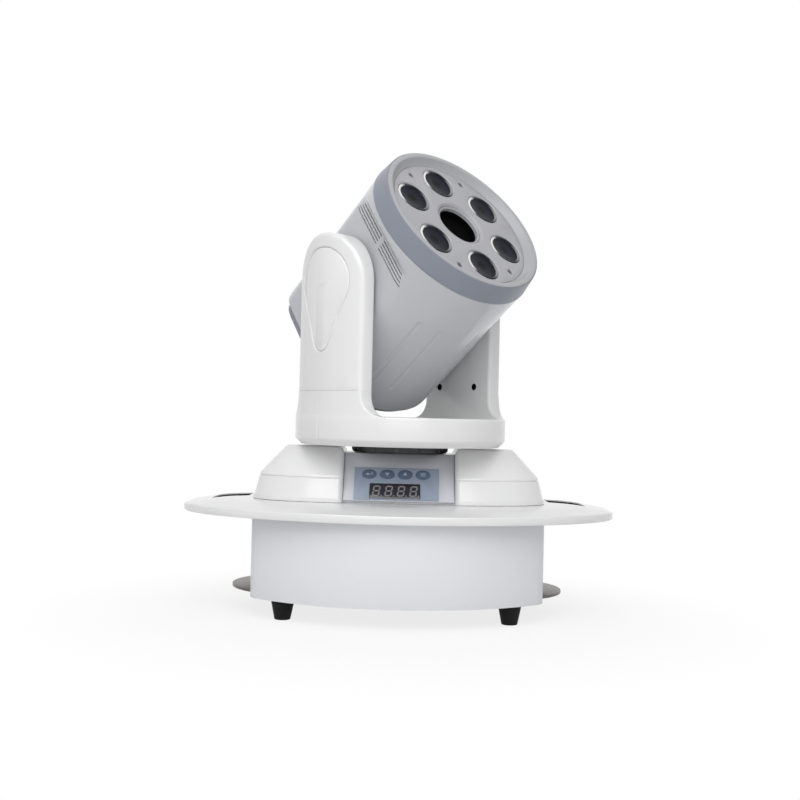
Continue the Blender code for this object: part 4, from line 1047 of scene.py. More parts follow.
@dataclass
class ControlPanel:
    """The sloped panel with its membrane, keys and four-digit display."""

    key_half: Point = (7.1 * MM, 5.3 * MM)
    key_pitch: float = 18 * MM
    key_row: Point = (-3 * MM, 3.9 * MM)
    key_low: float = -3 * MM
    key_high: float = 1.6 * MM
    display: Point = (-4 * MM, -15.8 * MM)
    display_top: float = 0.9 * MM
    digit: Point = (7.4 * MM, 12.4 * MM)
    digit_pitch: float = 12.4 * MM
    digit_lean: float = math.radians(8)
    stroke: float = 1.5 * MM
    lift: float = 0.12 * MM

    def build(self) -> None:
        """Builds and dresses the panel and what it carries."""
        panel = Bench.from_node("control_panel", "panel_plate")
        Bench.soften(panel, 0.5 * MM, 2)
        fit(Bench.smooth(panel), PANEL_GREY, Body.BASE, ["control_panel"])
        film = Bench.from_node("panel_overlay", "membrane")
        Bench.soften(film, 0.15 * MM, 2)
        fit(Bench.smooth(film), OVERLAY_BLUE, Body.BASE, ["panel_overlay"])
        module = Bench.from_node("display_module", "display")
        Bench.soften(module, 0.3 * MM, 2)
        fit(Bench.smooth(module), DISPLAY_BLACK, Body.BASE, ["display_module"])
        self._digits()
        for key in Key:
            self._key(key)

    def _key(self, key: Key) -> None:
        """A domed oval key and the sign on it.

        Args:
            key: Which key.
        """
        node, body, place = key.value
        centre = (self.key_row[0] + (place - 1.5) * self.key_pitch, self.key_row[1])
        stations = [(1, self.key_low), (1, self.key_high - 0.7 * MM), (0.985, self.key_high - 0.3 * MM)]
        stations += [(0.95, self.key_high - 0.08 * MM), (0.88, self.key_high), (0.4, self.key_high)]
        rings = []
        for share, z in stations:
            ring = circle(share, 64)
            rings.append([(centre[0] + x * self.key_half[0], centre[1] + y * self.key_half[1], z) for x, y in ring])
        cap = Bench.smooth(Bench.stacked(f"{key.name.lower()}_key_cap", rings))
        fit(cap, KEY_BLUE, body, [node], PANEL_FRAME)
        sign = self._sign(key)
        place_sign = PANEL_FRAME @ Matrix.Translation((*centre, self.key_high))
        fit(sign, ICON_PALE, body, frame=place_sign)

    def _sign(self, key: Key) -> bpy.types.Object:
        """The sign printed on a key, round its own centre.

        Args:
            key: Which key.

        Returns:
            The sign.
        """
        low, high = -0.1 * MM, self.lift
        name = f"{key.name.lower()}_sign"
        if key in (Key.DOWN, Key.UP):
            point = math.pi / 2 if key is Key.UP else -math.pi / 2
            return Bench.prism(name, circle(2.5 * MM, 3, start=point), low, high)
        if key is Key.MENU:
            head = Bench.prism("head", circle(1.9 * MM, 3, (-2.0 * MM, -0.6 * MM), math.pi), low, high)
            bar = Bench.block("bar", (-1.4 * MM, -1.0 * MM, low), (3.2 * MM, -0.2 * MM, high))
            stem = Bench.block("stem", (2.4 * MM, -1.0 * MM, low), (3.2 * MM, 1.9 * MM, high))
            return Bench.join(name, [head, bar, stem])
        lines = [
            Bench.block("line", (-2.6 * MM, y - 0.35 * MM, low), (2.6 * MM, y + 0.35 * MM, high))
            for y in (-1.6 * MM, 0, 1.6 * MM)
        ]
        return Bench.join(name, lines)

    def _digits(self) -> None:
        """Four unlit seven-segment digits with their points, leaning to the right."""
        half_width, half_height = self.digit[0] / 2, self.digit[1] / 2
        half_stroke, gap = self.stroke / 2, 0.22 * MM
        level = (half_width - half_stroke - gap, half_stroke)
        upright = (half_stroke, half_height / 2 - half_stroke / 2 - gap)
        strokes = [((0, y), level) for y in (-half_height + half_stroke, 0, half_height - half_stroke)]
        middle = half_height / 2 - half_stroke / 4
        for x in (-half_width + half_stroke, half_width - half_stroke):
            strokes += [((x, y), upright) for y in (-middle, middle)]
        pieces = []
        for i in range(4):
            shift = self.display[0] + (i - 1.5) * self.digit_pitch
            for (x, y), (a, b) in strokes:
                tip = min(a, b)
                if a > b:
                    outline = [(-a, 0), (-a + tip, -b), (a - tip, -b), (a, 0), (a - tip, b), (-a + tip, b)]
                else:
                    outline = [(0, -b), (a, -b + tip), (a, b - tip), (0, b), (-a, b - tip), (-a, -b + tip)]
                slanted = []
                for dx, dy in outline:
                    height = y + dy
                    slanted.append((shift + x + dx + height * math.tan(self.digit_lean), self.display[1] + height))
                pieces.append(Bench.prism("stroke", slanted, self.display_top - 0.1 * MM, self.display_top + 0.05 * MM))
            point = (shift + half_width + 1.4 * MM, self.display[1] - half_height + 0.8 * MM)
            dot = circle(0.75 * MM, 16, point)
            pieces.append(Bench.prism("point", dot, self.display_top - 0.1 * MM, self.display_top + 0.05 * MM))
        fit(Bench.join("digits", pieces), DIGIT_GREY, Body.BASE, frame=PANEL_FRAME)


@dataclass
class Yoke:
    """The turning yoke: a drum in two halves, two arms that rise from it, their lids, and the disc under it."""

    radius: float = 108.1 * MM
    drum: float = 109 * MM
    half_depth: float = 49.8 * MM
    inner: float = 80.1 * MM
    low: float = 151 * MM
    top: float = 180.2 * MM
    seam: float = 204.7 * MM
    chamfer: float = 6 * MM
    fillet: float = 21 * MM
    wall: float = 3 * MM
    edge: float = 4 * MM
    lid_top: Point = (311.2 * MM, 35 * MM)
    lid_foot: Point = (254.5 * MM, 11 * MM)
    bore: float = 9 * MM
    hole_z: float = 214.4 * MM
    hole_y: float = 26.6 * MM
    hole_radius: float = 3.7 * MM

    def build(self) -> None:
        """Builds and dresses the yoke."""
        self._drum()
        for side, mirror in (("right", Matrix.Identity(4)), ("left", Matrix.Scale(-1, 4, (1, 0, 0)))):
            self._arm(side, mirror)
            self._lid(side, mirror)
        self._disc()

    def _plan(self, half: float, radius: float, inset: float, height: float) -> list[Place]:
        """A level cut through an arm at +X: flat inner face, rounded corners, round outer face.

        Args:
            half: Half its depth.
            radius: The radius of its outer face.
            inset: How far inside the real arm.
            height: The cut's height.

        Returns:
            The outline.
        """
        inner = self.inner + inset
        radius -= inset
        edge = min(self.edge - inset, 0.45 * (math.sqrt(radius**2 - half**2) - inner))
        lean = math.asin((half - edge) / (radius - edge))
        tip = ((radius - edge) * math.cos(lean), half - edge)
        upper = arc(tip, edge, lean, math.pi / 2, 6)
        upper += arc((inner + edge, half - edge), edge, math.pi / 2, math.pi, 6)
        plan = arc((0, 0), radius, -lean, lean, 41)[1:-1] + upper + [(x, -y) for x, y in reversed(upper)]
        return [(x, y, height) for x, y in plan]

    def _stub(self, mirror: Matrix) -> bpy.types.Object:
        """The foot of an arm, which spreads into the drum through a fillet on both sides."""
        rings = [self._plan(self.half_depth + self.fillet, self.drum + 0.02 * MM, 0, self.top - 8 * MM)]
        steps = 12
        for i in range(steps + 1):
            lean = math.pi / 2 * i / steps
            half = self.half_depth + self.fillet * (1 - math.sin(lean))
            radius = self.drum + 0.02 * MM + (self.radius - self.drum) * i / steps
            rings.append(self._plan(half, radius, 0, self.top - 0.2 * MM + self.fillet * (1 - math.cos(lean))))
        rings.append(self._plan(self.half_depth, self.radius, 0, self.seam - 0.5 * MM))
        rings.append(self._plan(self.half_depth, self.radius - 0.45 * MM, 0, self.seam))
        stub = Bench.stacked("stub", rings)
        Bench.settle(stub, mirror)
        return stub

    def _drum(self) -> None:
        """The drum with its two stubs, hollow, parted by an upright seam that shows at the outer ends."""
        drum, low, top, cut = self.drum, self.low, self.top, self.chamfer
        stations = [(drum - cut - 1.2 * MM, low), (drum - cut - 0.2 * MM, low + 0.25 * MM)]
        stations += [(drum - 1.0 * MM, low + cut - 0.8 * MM), (drum - 0.3 * MM, low + cut + 0.2 * MM)]
        stations += [(drum, low + cut + 1.6 * MM), (drum, top - 2.6 * MM)]
        stations += [(drum - sink * MM, top - fall * MM) for sink, fall in ((0.25, 1.4), (0.9, 0.5), (1.8, 0.1), (2.6, 0))]
        whole = Bench.turned("drum", stations, 256)
        mirrors = (Matrix.Identity(4), Matrix.Scale(-1, 4, (1, 0, 0)))
        for mirror in mirrors:
            Bench.combine(whole, self._stub(mirror), "UNION")
        wall = self.wall
        stations = [(drum - wall - cut, low + wall), (drum - wall, low + wall + cut), (drum - wall, top - wall - 2 * MM)]
        stations.append((drum - wall - 2 * MM, top - wall))
        Bench.combine(whole, Bench.turned("hollow", stations, 128))
        for mirror in mirrors:
            levels = (top - 2 * wall, self.seam + 0.02)
            shaft = Bench.stacked("hollow", [self._plan(self.half_depth - wall, self.radius, wall, z) for z in levels])
            Bench.settle(shaft, mirror)
            Bench.combine(whole, shaft)
        Bench.combine(whole, Bench.prism("shaft_hole", circle(16 * MM, 48, start=0.05), low - 0.01, low + 0.01))
        for name, node, sign in (("front", "yoke_base_front", -1), ("rear", "yoke_base_rear", 1)):
            half = Bench.copy(whole, f"drum_{name}", Matrix.Identity(4))
            ys = sorted((sign * 0.03 * MM, sign * 0.2))
            Bench.combine(half, Bench.block("keep", (-0.2, ys[0], 0), (0.2, ys[1], 0.4)), "INTERSECT")

            def seam_edge(edge: bmesh.types.BMEdge) -> bool:
                at_seam = all(abs(vert.co.y) < 0.05 * MM and abs(vert.co.x) > 107 * MM for vert in edge.verts)
                return at_seam and edge.calc_face_angle(0) > math.radians(60)

            Bench.round_edges(half, seam_edge, 0.5 * MM, 2)
            fit(Bench.smooth(half, 30), WHITE_GLOSS, Body.YOKE, [node], YOKE_FRAME)
        bpy.data.objects.remove(whole, do_unlink=True)

    def _arch(self, inset: float, low: float) -> list[Point]:
        """An arm's outline in depth and height: straight sides under a half circle.

        Args:
            inset: How far inside the outer edge.
            low: The height of its lower end.

        Returns:
            The outline.
        """
        half = self.half_depth - inset
        top = arc((0, TILT_Z), half, 0, math.pi, 48)
        drop = [TILT_Z + (low + inset - TILT_Z) * i / 6 for i in range(1, 7)]
        left = [(-half, z) for z in drop]
        foot = [(-half + 2 * half * i / 8, low + inset) for i in range(1, 8)]
        right = [(half, z) for z in reversed(drop)]
        return top + left + foot + right

    def _arm_form(self, inset: float, edge: float) -> bpy.types.Object:
        """An arm's form at +X, running past its lower seam.

        Args:
            inset: How far inside the real arm.
            edge: The radius of its edges.

        Returns:
            The form.
        """
        low = self.seam - 25 * MM
        radius, inner = self.radius - inset, self.inner + inset
        rings = []
        steps = 5
        for i in range(steps + 1):
            lean = math.pi / 2 * i / steps
            outline = self._arch(inset + edge * (1 - math.sin(lean)), low)
            rings.append([(inner + edge * (1 - math.cos(lean)), y, z) for y, z in outline])
        for i in range(steps + 1):
            lean = math.pi / 2 * i / steps
            outline = self._arch(inset + edge * (1 - math.cos(lean)), low)
            sink = edge * (1 - math.sin(lean))
            rings.append([(math.sqrt(radius**2 - y**2) - sink, y, z) for y, z in outline])
        for share in (0.18, 0.30, 0.42, 0.54, 0.66, 0.78, 0.88, 0.95, 0.99):
            outline = self._arch(inset + share * (self.half_depth - inset), low)
            rings.append([(math.sqrt(radius**2 - y**2), y, z) for y, z in outline])
        return Bench.stacked("arm_form", rings)

    def _lid_form(self, side: int) -> bpy.types.Object:
        """The lid's teardrop outline, carried through the arm's round face with a rounded edge.

        Args:
            side: 1 to open out towards the face, for the arm, and -1 to close in, for the lid.

        Returns:
            The form.
        """
        rings = []
        for grow, lift in ((0.05, -15), (0.05, -1.6), (0.25, -1.0), (0.7, -0.5), (1.5, -0.05), (2.2, 6)):
            spread = side * grow * MM
            foot = (0, self.lid_foot[0])
            outline = two_circles((0, self.lid_top[0]), self.lid_top[1] + spread, foot, self.lid_foot[1] + spread, 40)
            rings.append([(math.sqrt((self.radius + lift * MM) ** 2 - y**2), y, z) for y, z in outline])
        return Bench.stacked("teardrop", rings)

    def _arm(self, side: str, mirror: Matrix) -> None:
        """A hollow arm with its lid opening, axle bore and screw holes.

        Args:
            side: Its name.
            mirror: The turn that takes the arm at +X to its side.
        """
        arm = Bench.name(self._arm_form(0, self.edge), f"{side}_arm_case")
        Bench.combine(arm, Bench.block("below", (0, -0.1, 0), (0.2, 0.1, self.seam + 0.05 * MM)))
        Bench.combine(arm, self._arm_form(self.wall, 1 * MM))
        Bench.combine(arm, self._lid_form(1))

        def foot_edge(edge: bmesh.types.BMEdge) -> bool:
            at_foot = all(abs(v.co.z - self.seam) < 0.1 * MM and v.co.x > self.inner + 5 * MM for v in edge.verts)
            on_skin = all(abs(math.hypot(v.co.x, v.co.y) - self.radius) < 0.15 * MM for v in edge.verts)
            return at_foot and on_skin

        Bench.round_edges(arm, foot_edge, 0.45 * MM, 2)
        bore = Bench.turned("bore", [(self.bore, 60 * MM), (self.bore, 85 * MM)], 48)
        Bench.settle(bore, Matrix.Translation((0, 0, TILT_Z)) @ ALONG_X)
        Bench.combine(arm, bore)
        for y in (-self.hole_y, self.hole_y):
            place = Matrix.Translation((0, y, self.hole_z)) @ ALONG_X
            hole = Bench.turned("hole", [(self.hole_radius, 60 * MM), (self.hole_radius, 85 * MM)], 32)
            Bench.settle(hole, place)
            Bench.combine(arm, hole)
        node = f"{side}_arm"
        fit(Bench.smooth(arm, 30), WHITE_GLOSS, Body.YOKE, [node], YOKE_FRAME @ mirror)
        liners = []
        for y in (-self.hole_y, self.hole_y):
            outer = self.hole_radius - 0.05 * MM
            section = [(0.3 * MM, 83 * MM), (outer - 0.5 * MM, 83 * MM), (outer - 0.5 * MM, 80.6 * MM), (outer, 80.6 * MM)]
            section += [(outer, 83.4 * MM), (0.3 * MM, 83.4 * MM)]
            liner = Bench.turned("liner", section, 32)
            Bench.settle(liner, Matrix.Translation((0, y, self.hole_z)) @ ALONG_X)
            liners.append(liner)
        sleeves = Bench.smooth(Bench.join(f"{side}_arm_hole_liners", liners))
        fit(sleeves, BLACK_DEEP, Body.YOKE, frame=YOKE_FRAME @ mirror)

    def _lid(self, side: str, mirror: Matrix) -> None:
        """A teardrop lid that follows the arm's round face.

        Args:
            side: Its arm's name.
            mirror: The turn that takes the lid at +X to its side.
        """
        outer, inner = self.radius - 0.1 * MM, self.radius - self.wall
        low, high = self.lid_foot[0] - 0.03, self.lid_top[0] + 0.05
        section = [(inner, low), (outer, low), (outer, high), (inner, high), (inner, low)]
        lid = Bench.turned(f"{side}_lid", section, 256)
        Bench.settle(lid, Matrix.Rotation(math.radians(90.7), 4, "Z"))
        Bench.combine(lid, self._lid_form(-1), "INTERSECT")
        node = f"{side}_arm_cap"
        fit(Bench.smooth(lid, 30), WHITE_GLOSS, Body.YOKE, [node], YOKE_FRAME @ mirror)

    def _disc(self) -> None:
        """The black bearing disc under the yoke, with a ring of screw heads."""
        low, high, hole, outer, edge = 143.6 * MM, 150.7 * MM, 15.3 * MM, 48.7 * MM, 0.7 * MM
        section = [(hole, low), (outer - edge, low), (outer, low + edge), (outer, high - edge)]
        section += [(outer - edge, high), (hole, high), (hole, low)]
        disc = Bench.smooth(Bench.turned("bearing_disc", section, 96))
        fit(disc, BLACK_SATIN, Body.YOKE, ["pan_disc"], YOKE_FRAME)
        screw = Bench.screw("screw", 2.4 * MM, 1.8 * MM)
        heads = []
        for x, y in circle(48.2 * MM, 12, start=math.radians(15)):
            outward = Matrix.Rotation(math.atan2(y, x), 4, "Z") @ ALONG_X
            heads.append(Bench.copy(screw, "head", Matrix.Translation((x, y, 147.2 * MM)) @ outward))
        bpy.data.objects.remove(screw, do_unlink=True)
        fit(Bench.join("disc_screws", heads), SCREW_STEEL, Body.YOKE, frame=YOKE_FRAME)


@dataclass
class Head:
    """The tilting head: a round barrel with flat sides, a grey band, and a face of six lenses round an opening."""

    wall: float = 3 * MM
    points: int = 176
    blend: float = 5 * MM
    rear: float = -85.5 * MM
    front: float = 89.7 * MM
    radius: float = 92.5 * MM
    flat: float = 77 * MM
    flare: float = 69.5 * MM
    face_radius: float = 78 * MM
    face_top: float = 104.6 * MM
    face_low: float = 100.3 * MM
    lens_circle: float = 55.2 * MM
    lens_hole: float = 18.2 * MM
    opening: float = 24.9 * MM
    screw_circle: float = 69.2 * MM
    screw_angles: tuple[int, ...] = (60, 120, 240, 300)
    vents: tuple[float, ...] = (58.5 * MM, 62 * MM, 65.5 * MM, 69 * MM)
    vent_width: float = 1.5 * MM
    groove_angles: tuple[float, ...] = (-121, -106, -75, -60)
    groove_span: Point = (-50 * MM, 38 * MM)

    def build(self) -> None:
        """Builds and dresses the head."""
        self._barrel()
        self._band()
        self._face()
        self._lenses()
        self._opening()
        self._grille()

    def _radius(self, along: float) -> float:
        """The barrel's radius at a place along the beam."""
        return self.radius + 0.5 * MM * smooth_step((along - 60 * MM) / (self.front - 60 * MM))

    def _half_width(self, along: float) -> float:
        """Half the barrel's width over its flat sides: they spread out to the round front."""
        return self.flat + 19 * MM * smooth_step((along - self.flare) / (self.front - self.flare))

    def _ring(self, along: float, inset: float) -> list[Place]:
        """One outline of the barrel, cut flat on both sides with a rounded change.

        Args:
            along: The place along the beam.
            inset: How far inside the outer face.

        Returns:
            The outline.
        """
        radius, flat = self._radius(along) - inset, self._half_width(along) - inset
        ring = []
        for i in range(self.points):
            turn = 2 * math.pi * (i + 0.5) / self.points
            reach = smooth_min(radius, flat / max(abs(math.cos(turn)), 0.01), self.blend)
            ring.append((reach * math.cos(turn), reach * math.sin(turn), along))
        return ring

    def _barrel(self) -> None:
        """The hollow barrel with vents in its flat sides and long grooves under it."""
        outer = []
        for i in range(6):
            lean = math.pi / 2 * i / 5
            edge = 1.8 * MM
            outer.append(self._ring(self.rear + edge * (1 - math.cos(lean)), edge * (1 - math.sin(lean))))
        stops = [-78, -70, -60, -40, -20, 0, 20, 40, 56, 66, 70, 72, 74, 76, 78, 80, 82, 84, 86, 88]
        outer += [self._ring(stop * MM, 0) for stop in stops]
        outer += [self._ring(self.front - 0.5 * MM, 0), self._ring(self.front, 0.5 * MM)]
        inner = [self._ring(self.front, self.wall)]
        inner += [self._ring(stop * MM, self.wall) for stop in reversed(stops)]
        inner.append(self._ring(self.rear, self.wall + 1.5 * MM))
        barrel = Bench.stacked("barrel", outer + inner, closed=True)
        for side in (-1, 1):
            for half in (-1, 1):
                self._vent_group(barrel, side, half)
        for angle in self.groove_angles:
            self._groove(barrel, math.radians(angle))
        bore = Bench.turned("bore", [(9 * MM, -0.1), (9 * MM, 0.1)], 48)
        Bench.settle(bore, ALONG_X)
        Bench.combine(barrel, bore)
        # The barrel takes the darkened white, which is painted shade.
        fit(Bench.smooth(barrel, 30), HEAD_WHITE_PAINTED_SHADE, Body.HEAD, ["head_barrel"], HEAD_FRAME)

    def _vent_group(self, barrel: bpy.types.Object, side: int, half: int) -> None:
        """Cuts one group of parallel vents.

        Args:
            barrel: The barrel.
            side: -1 or 1 for the flat side.
            half: -1 or 1 for the group under or over the tilt axis.
        """
        for i, along in enumerate(self.vents):
            xs = sorted((side * 64 * MM, side * 96 * MM))
            ys = sorted((half * 3 * MM, half * (53 - 2 * i) * MM))
            low = (xs[0], ys[0], along - self.vent_width / 2)
            high = (xs[1], ys[1], along + self.vent_width / 2)
            Bench.combine(barrel, Bench.block("vent", low, high))

    def _groove(self, barrel: bpy.types.Object, turn: float) -> None:
        """Sinks one long groove with round ends into the barrel.

        Args:
            barrel: The barrel.
            turn: Its angle round the beam.
        """
        start, end = self.groove_span
        rings = []
        for half, lift in ((0.8, -0.85), (1.6, -0.72), (2.2, -0.42), (2.7, 0.0), (3.6, 0.8)):
            outline = two_circles((start, 0), half * MM, (end, 0), half * MM, 12)
            rings.append([(self.radius + lift * MM, b, a) for a, b in outline])
        cutter = Bench.stacked("groove", rings)
        Bench.settle(cutter, Matrix.Rotation(turn, 4, "Z"))
        Bench.combine(barrel, cutter)

    def _band(self) -> None:
        """The blue-grey band round the front, and the pale lip with its sloping inner wall."""
        section = [(79, 90), (92.9, 90), (93.3, 90.3), (93.3, 91.6), (93.0, 93.2), (90.5, 109.4), (90.2, 110.5)]
        section += [(89.9, 110.9), (89.6, 111.0), (89.6, 98.5), (79, 98.5), (79, 90)]
        band = Bench.turned("front_band", [(r * MM, a * MM) for r, a in section], self.points)
        fit(Bench.smooth(band), BLUE_GREY, Body.HEAD, ["front_ring"], HEAD_FRAME)
        section = [(78.4, 99), (89.4, 99), (89.4, 110.9), (89.2, 111.2), (88.7, 111.4), (85.2, 111.4), (84.5, 111.25)]
        section += [(84.0, 110.8), (83.5, 110.0), (80.2, 106.0), (79.2, 105.0), (78.4, 104.5), (78.4, 99)]
        rim = Bench.turned("face_rim", [(r * MM, a * MM) for r, a in section], self.points)
        fit(Bench.smooth(rim, 40), RIM_GREY, Body.HEAD, frame=HEAD_FRAME)

    def _face(self) -> None:
        """The grey face with its lens holes, the middle opening and four sunk screws."""
        face = Bench.turned("face", [(self.face_radius, self.face_low), (self.face_radius, self.face_top)], self.points)
        for x, y in circle(self.lens_circle, 6, start=math.radians(30)):
            mouth = self.face_top - 1.2 * MM
            section = [(self.lens_hole, 0.09), (self.lens_hole, mouth), (self.lens_hole + 1.2 * MM, self.face_top)]
            section.append((self.lens_hole + 1.2 * MM, 0.12))
            hole = Bench.turned("lens_hole", section, 72)
            Bench.settle(hole, Matrix.Translation((x, y, 0)))
            Bench.combine(face, hole)
        section = [(self.opening, 0.09), (self.opening, self.face_top - 2.2 * MM)]
        section += [(self.opening + 2.4 * MM, self.face_top), (self.opening + 2.4 * MM, 0.12)]
        Bench.combine(face, Bench.turned("middle_hole", section, 96))
        spots = [circle(self.screw_circle, 1, start=math.radians(angle))[0] for angle in self.screw_angles]
        for x, y in spots:
            section = [(2.9 * MM, 0.09), (2.9 * MM, self.face_top - 0.8 * MM), (3.7 * MM, self.face_top), (3.7 * MM, 0.12)]
            sink = Bench.turned("screw_sink", section, 32)
            Bench.settle(sink, Matrix.Translation((x, y, 0)))
            Bench.combine(face, sink)
        Bench.soften(face, 0.35 * MM, 2, 30)
        fit(Bench.smooth(face), FACE_GREY, Body.HEAD, ["face_plate"], HEAD_FRAME)
        screw = Bench.screw("screw", 2.8 * MM, 1.5 * MM)
        heads = [Bench.copy(screw, "head", Matrix.Translation((x, y, self.face_top - 4.2 * MM))) for x, y in spots]
        bpy.data.objects.remove(screw, do_unlink=True)
        fit(Bench.join("face_screws", heads), BLACK_DEEP, Body.HEAD, frame=HEAD_FRAME)

    def _lenses(self) -> None:
        """Six domed dark lenses, each in a cup with a painted highlight on one side and a fainter one opposite."""
        radius, painted_glint_angle = 15.2 * MM, math.radians(159)
        dome = [(r * MM, a * MM) for r, a in ((9, 90), (13.6, 96), (15.1, 98.6), (15.2, 103.4))]
        dome += [(r * MM, (102.0 + 1.4 * (r / 15) ** 2) * MM) for r in (14.8, 13, 11, 9, 7.5, 6, 5, 4, 2, 0.4)]
        lens = Bench.smooth(Bench.turned("lens", dome, 72))
        shade = lens.data.attributes.new(LENS_GLASS.attribute, "FLOAT", "POINT")
        for value, vert in zip(shade.data, lens.data.vertices):
            value.value = math.hypot(vert.co.x + 1.5 * MM, vert.co.y) / radius
        section = [(15.3, 98), (17.9, 98), (17.9, 104.0), (17.6, 104.3), (17.0, 104.4), (16.0, 104.2), (15.4, 103.7)]
        section += [(15.3, 103.2), (15.3, 98)]
        cup = Bench.smooth(Bench.turned("cup", [(r * MM, a * MM) for r, a in section], 72))
        # Painted highlight: each cup vertex holds its turn from the glint's angle, 0 there and 1 opposite.
        shade = cup.data.attributes.new(CUP_PAINTED_GLINT.attribute, "FLOAT", "POINT")
        for value, vert in zip(shade.data, cup.data.vertices):
            value.value = (1 - math.cos(math.atan2(vert.co.y, vert.co.x) - painted_glint_angle)) / 2
        for i, (x, y) in enumerate(circle(self.lens_circle, 6, start=math.radians(30))):
            place = Matrix.Translation((x, y, 0))
            glass = Bench.copy(lens, f"lens_glass_{i + 1}", place)
            fit(glass, LENS_GLASS, Body.HEAD, [f"lens_{i + 1}"], HEAD_FRAME)
            ring = Bench.copy(cup, f"lens_cup_{i + 1}", place)
            fit(ring, CUP_PAINTED_GLINT, Body.HEAD, frame=HEAD_FRAME)
        bpy.data.objects.remove(lens, do_unlink=True)
        bpy.data.objects.remove(cup, do_unlink=True)

    def _opening(self) -> None:
        """The dark tube behind the middle opening and the grey mouth in front of it."""
        section = [(0.5, 89), (24.5, 89), (24.5, 97.8), (22.4, 97.8), (22.4, 91), (0.5, 91)]
        tube = Bench.smooth(Bench.turned("middle_tube", [(r * MM, a * MM) for r, a in section], 96))
        fit(tube, BLACK_DEEP, Body.HEAD, ["aperture_tube"], HEAD_FRAME)
        section = [(22.4, 98), (24.5, 98), (24.5, 102.1), (24.2, 102.3), (23.4, 102.0), (22.7, 101.2), (22.4, 98)]
        mouth = Bench.smooth(Bench.turned("middle_mouth", [(r * MM, a * MM) for r, a in section], 96))
        fit(mouth, RIM_GREY, Body.HEAD, frame=HEAD_FRAME)

    def _grille(self) -> None:
        """The grey rear lid with slots in front of the fan."""
        low, high = -93.7 * MM, -85.8 * MM
        rings = []
        for inset, along in ((3.0, low), (1.6, low + 0.35 * MM), (0.5, low + 1.5 * MM), (0.2, low + 3 * MM), (0.2, high)):
            ring = []
            for i in range(self.points):
                turn = 2 * math.pi * (i + 0.5) / self.points
                reach = smooth_min(88 * MM, 75.5 * MM / max(abs(math.cos(turn)), 0.01), self.blend) - inset * MM
                ring.append((reach * math.cos(turn), reach * math.sin(turn), along))
            rings.append(ring)
        lid = Bench.stacked("rear_lid", rings)
        for i in range(9):
            y = (i - 4) * 8 * MM
            half = math.sqrt((38 * MM) ** 2 - y**2) - 2 * MM
            outline = two_circles((-half, y), 1.9 * MM, (half, y), 1.9 * MM, 10)
            Bench.combine(lid, Bench.prism("slot", outline, low - 0.01, high + 0.01))
        Bench.soften(lid, 0.35 * MM, 2, 50)
        fit(Bench.smooth(lid), BLUE_GREY, Body.HEAD, ["rear_grille"], HEAD_FRAME)


@dataclass
class Insides:
    """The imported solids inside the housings, which keep their shapes and get finishes."""

    steel: tuple[str, ...] = (
        "pan_bracket", "pan_bearing", "pan_shaft", "yoke_frame", "left_tilt_bearing", "right_tilt_bearing",
        "left_axle", "right_axle",
    )
    aluminium: tuple[str, ...] = (
        "power_supply", "pan_drive_pulley", "pan_pulley", "tilt_drive_pulley", "tilt_pulley", "led_board", "heat_sink",
    )
    black: tuple[str, ...] = ("pan_motor", "tilt_motor", "fan_frame", "fan_rotor")
    rubber: tuple[str, ...] = ("pan_belt", "tilt_belt")
    board: tuple[str, ...] = ("control_board",)

    def build(self) -> None:
        """Gives every inner solid its finish."""
        groups = (
            (self.steel, STEEL),
            (self.aluminium, ALUMINIUM),
            (self.black, BLACK_SATIN),
            (self.rubber, RUBBER),
            (self.board, BOARD_GREEN),
        )
        for nodes, look in groups:
            for node in nodes:
                solid = bpy.data.objects[node]
                solid.data.materials.clear()
                solid.data.materials.append(look.material())
                LOG.info("%s: keeps its solid, %s", node, look.name)


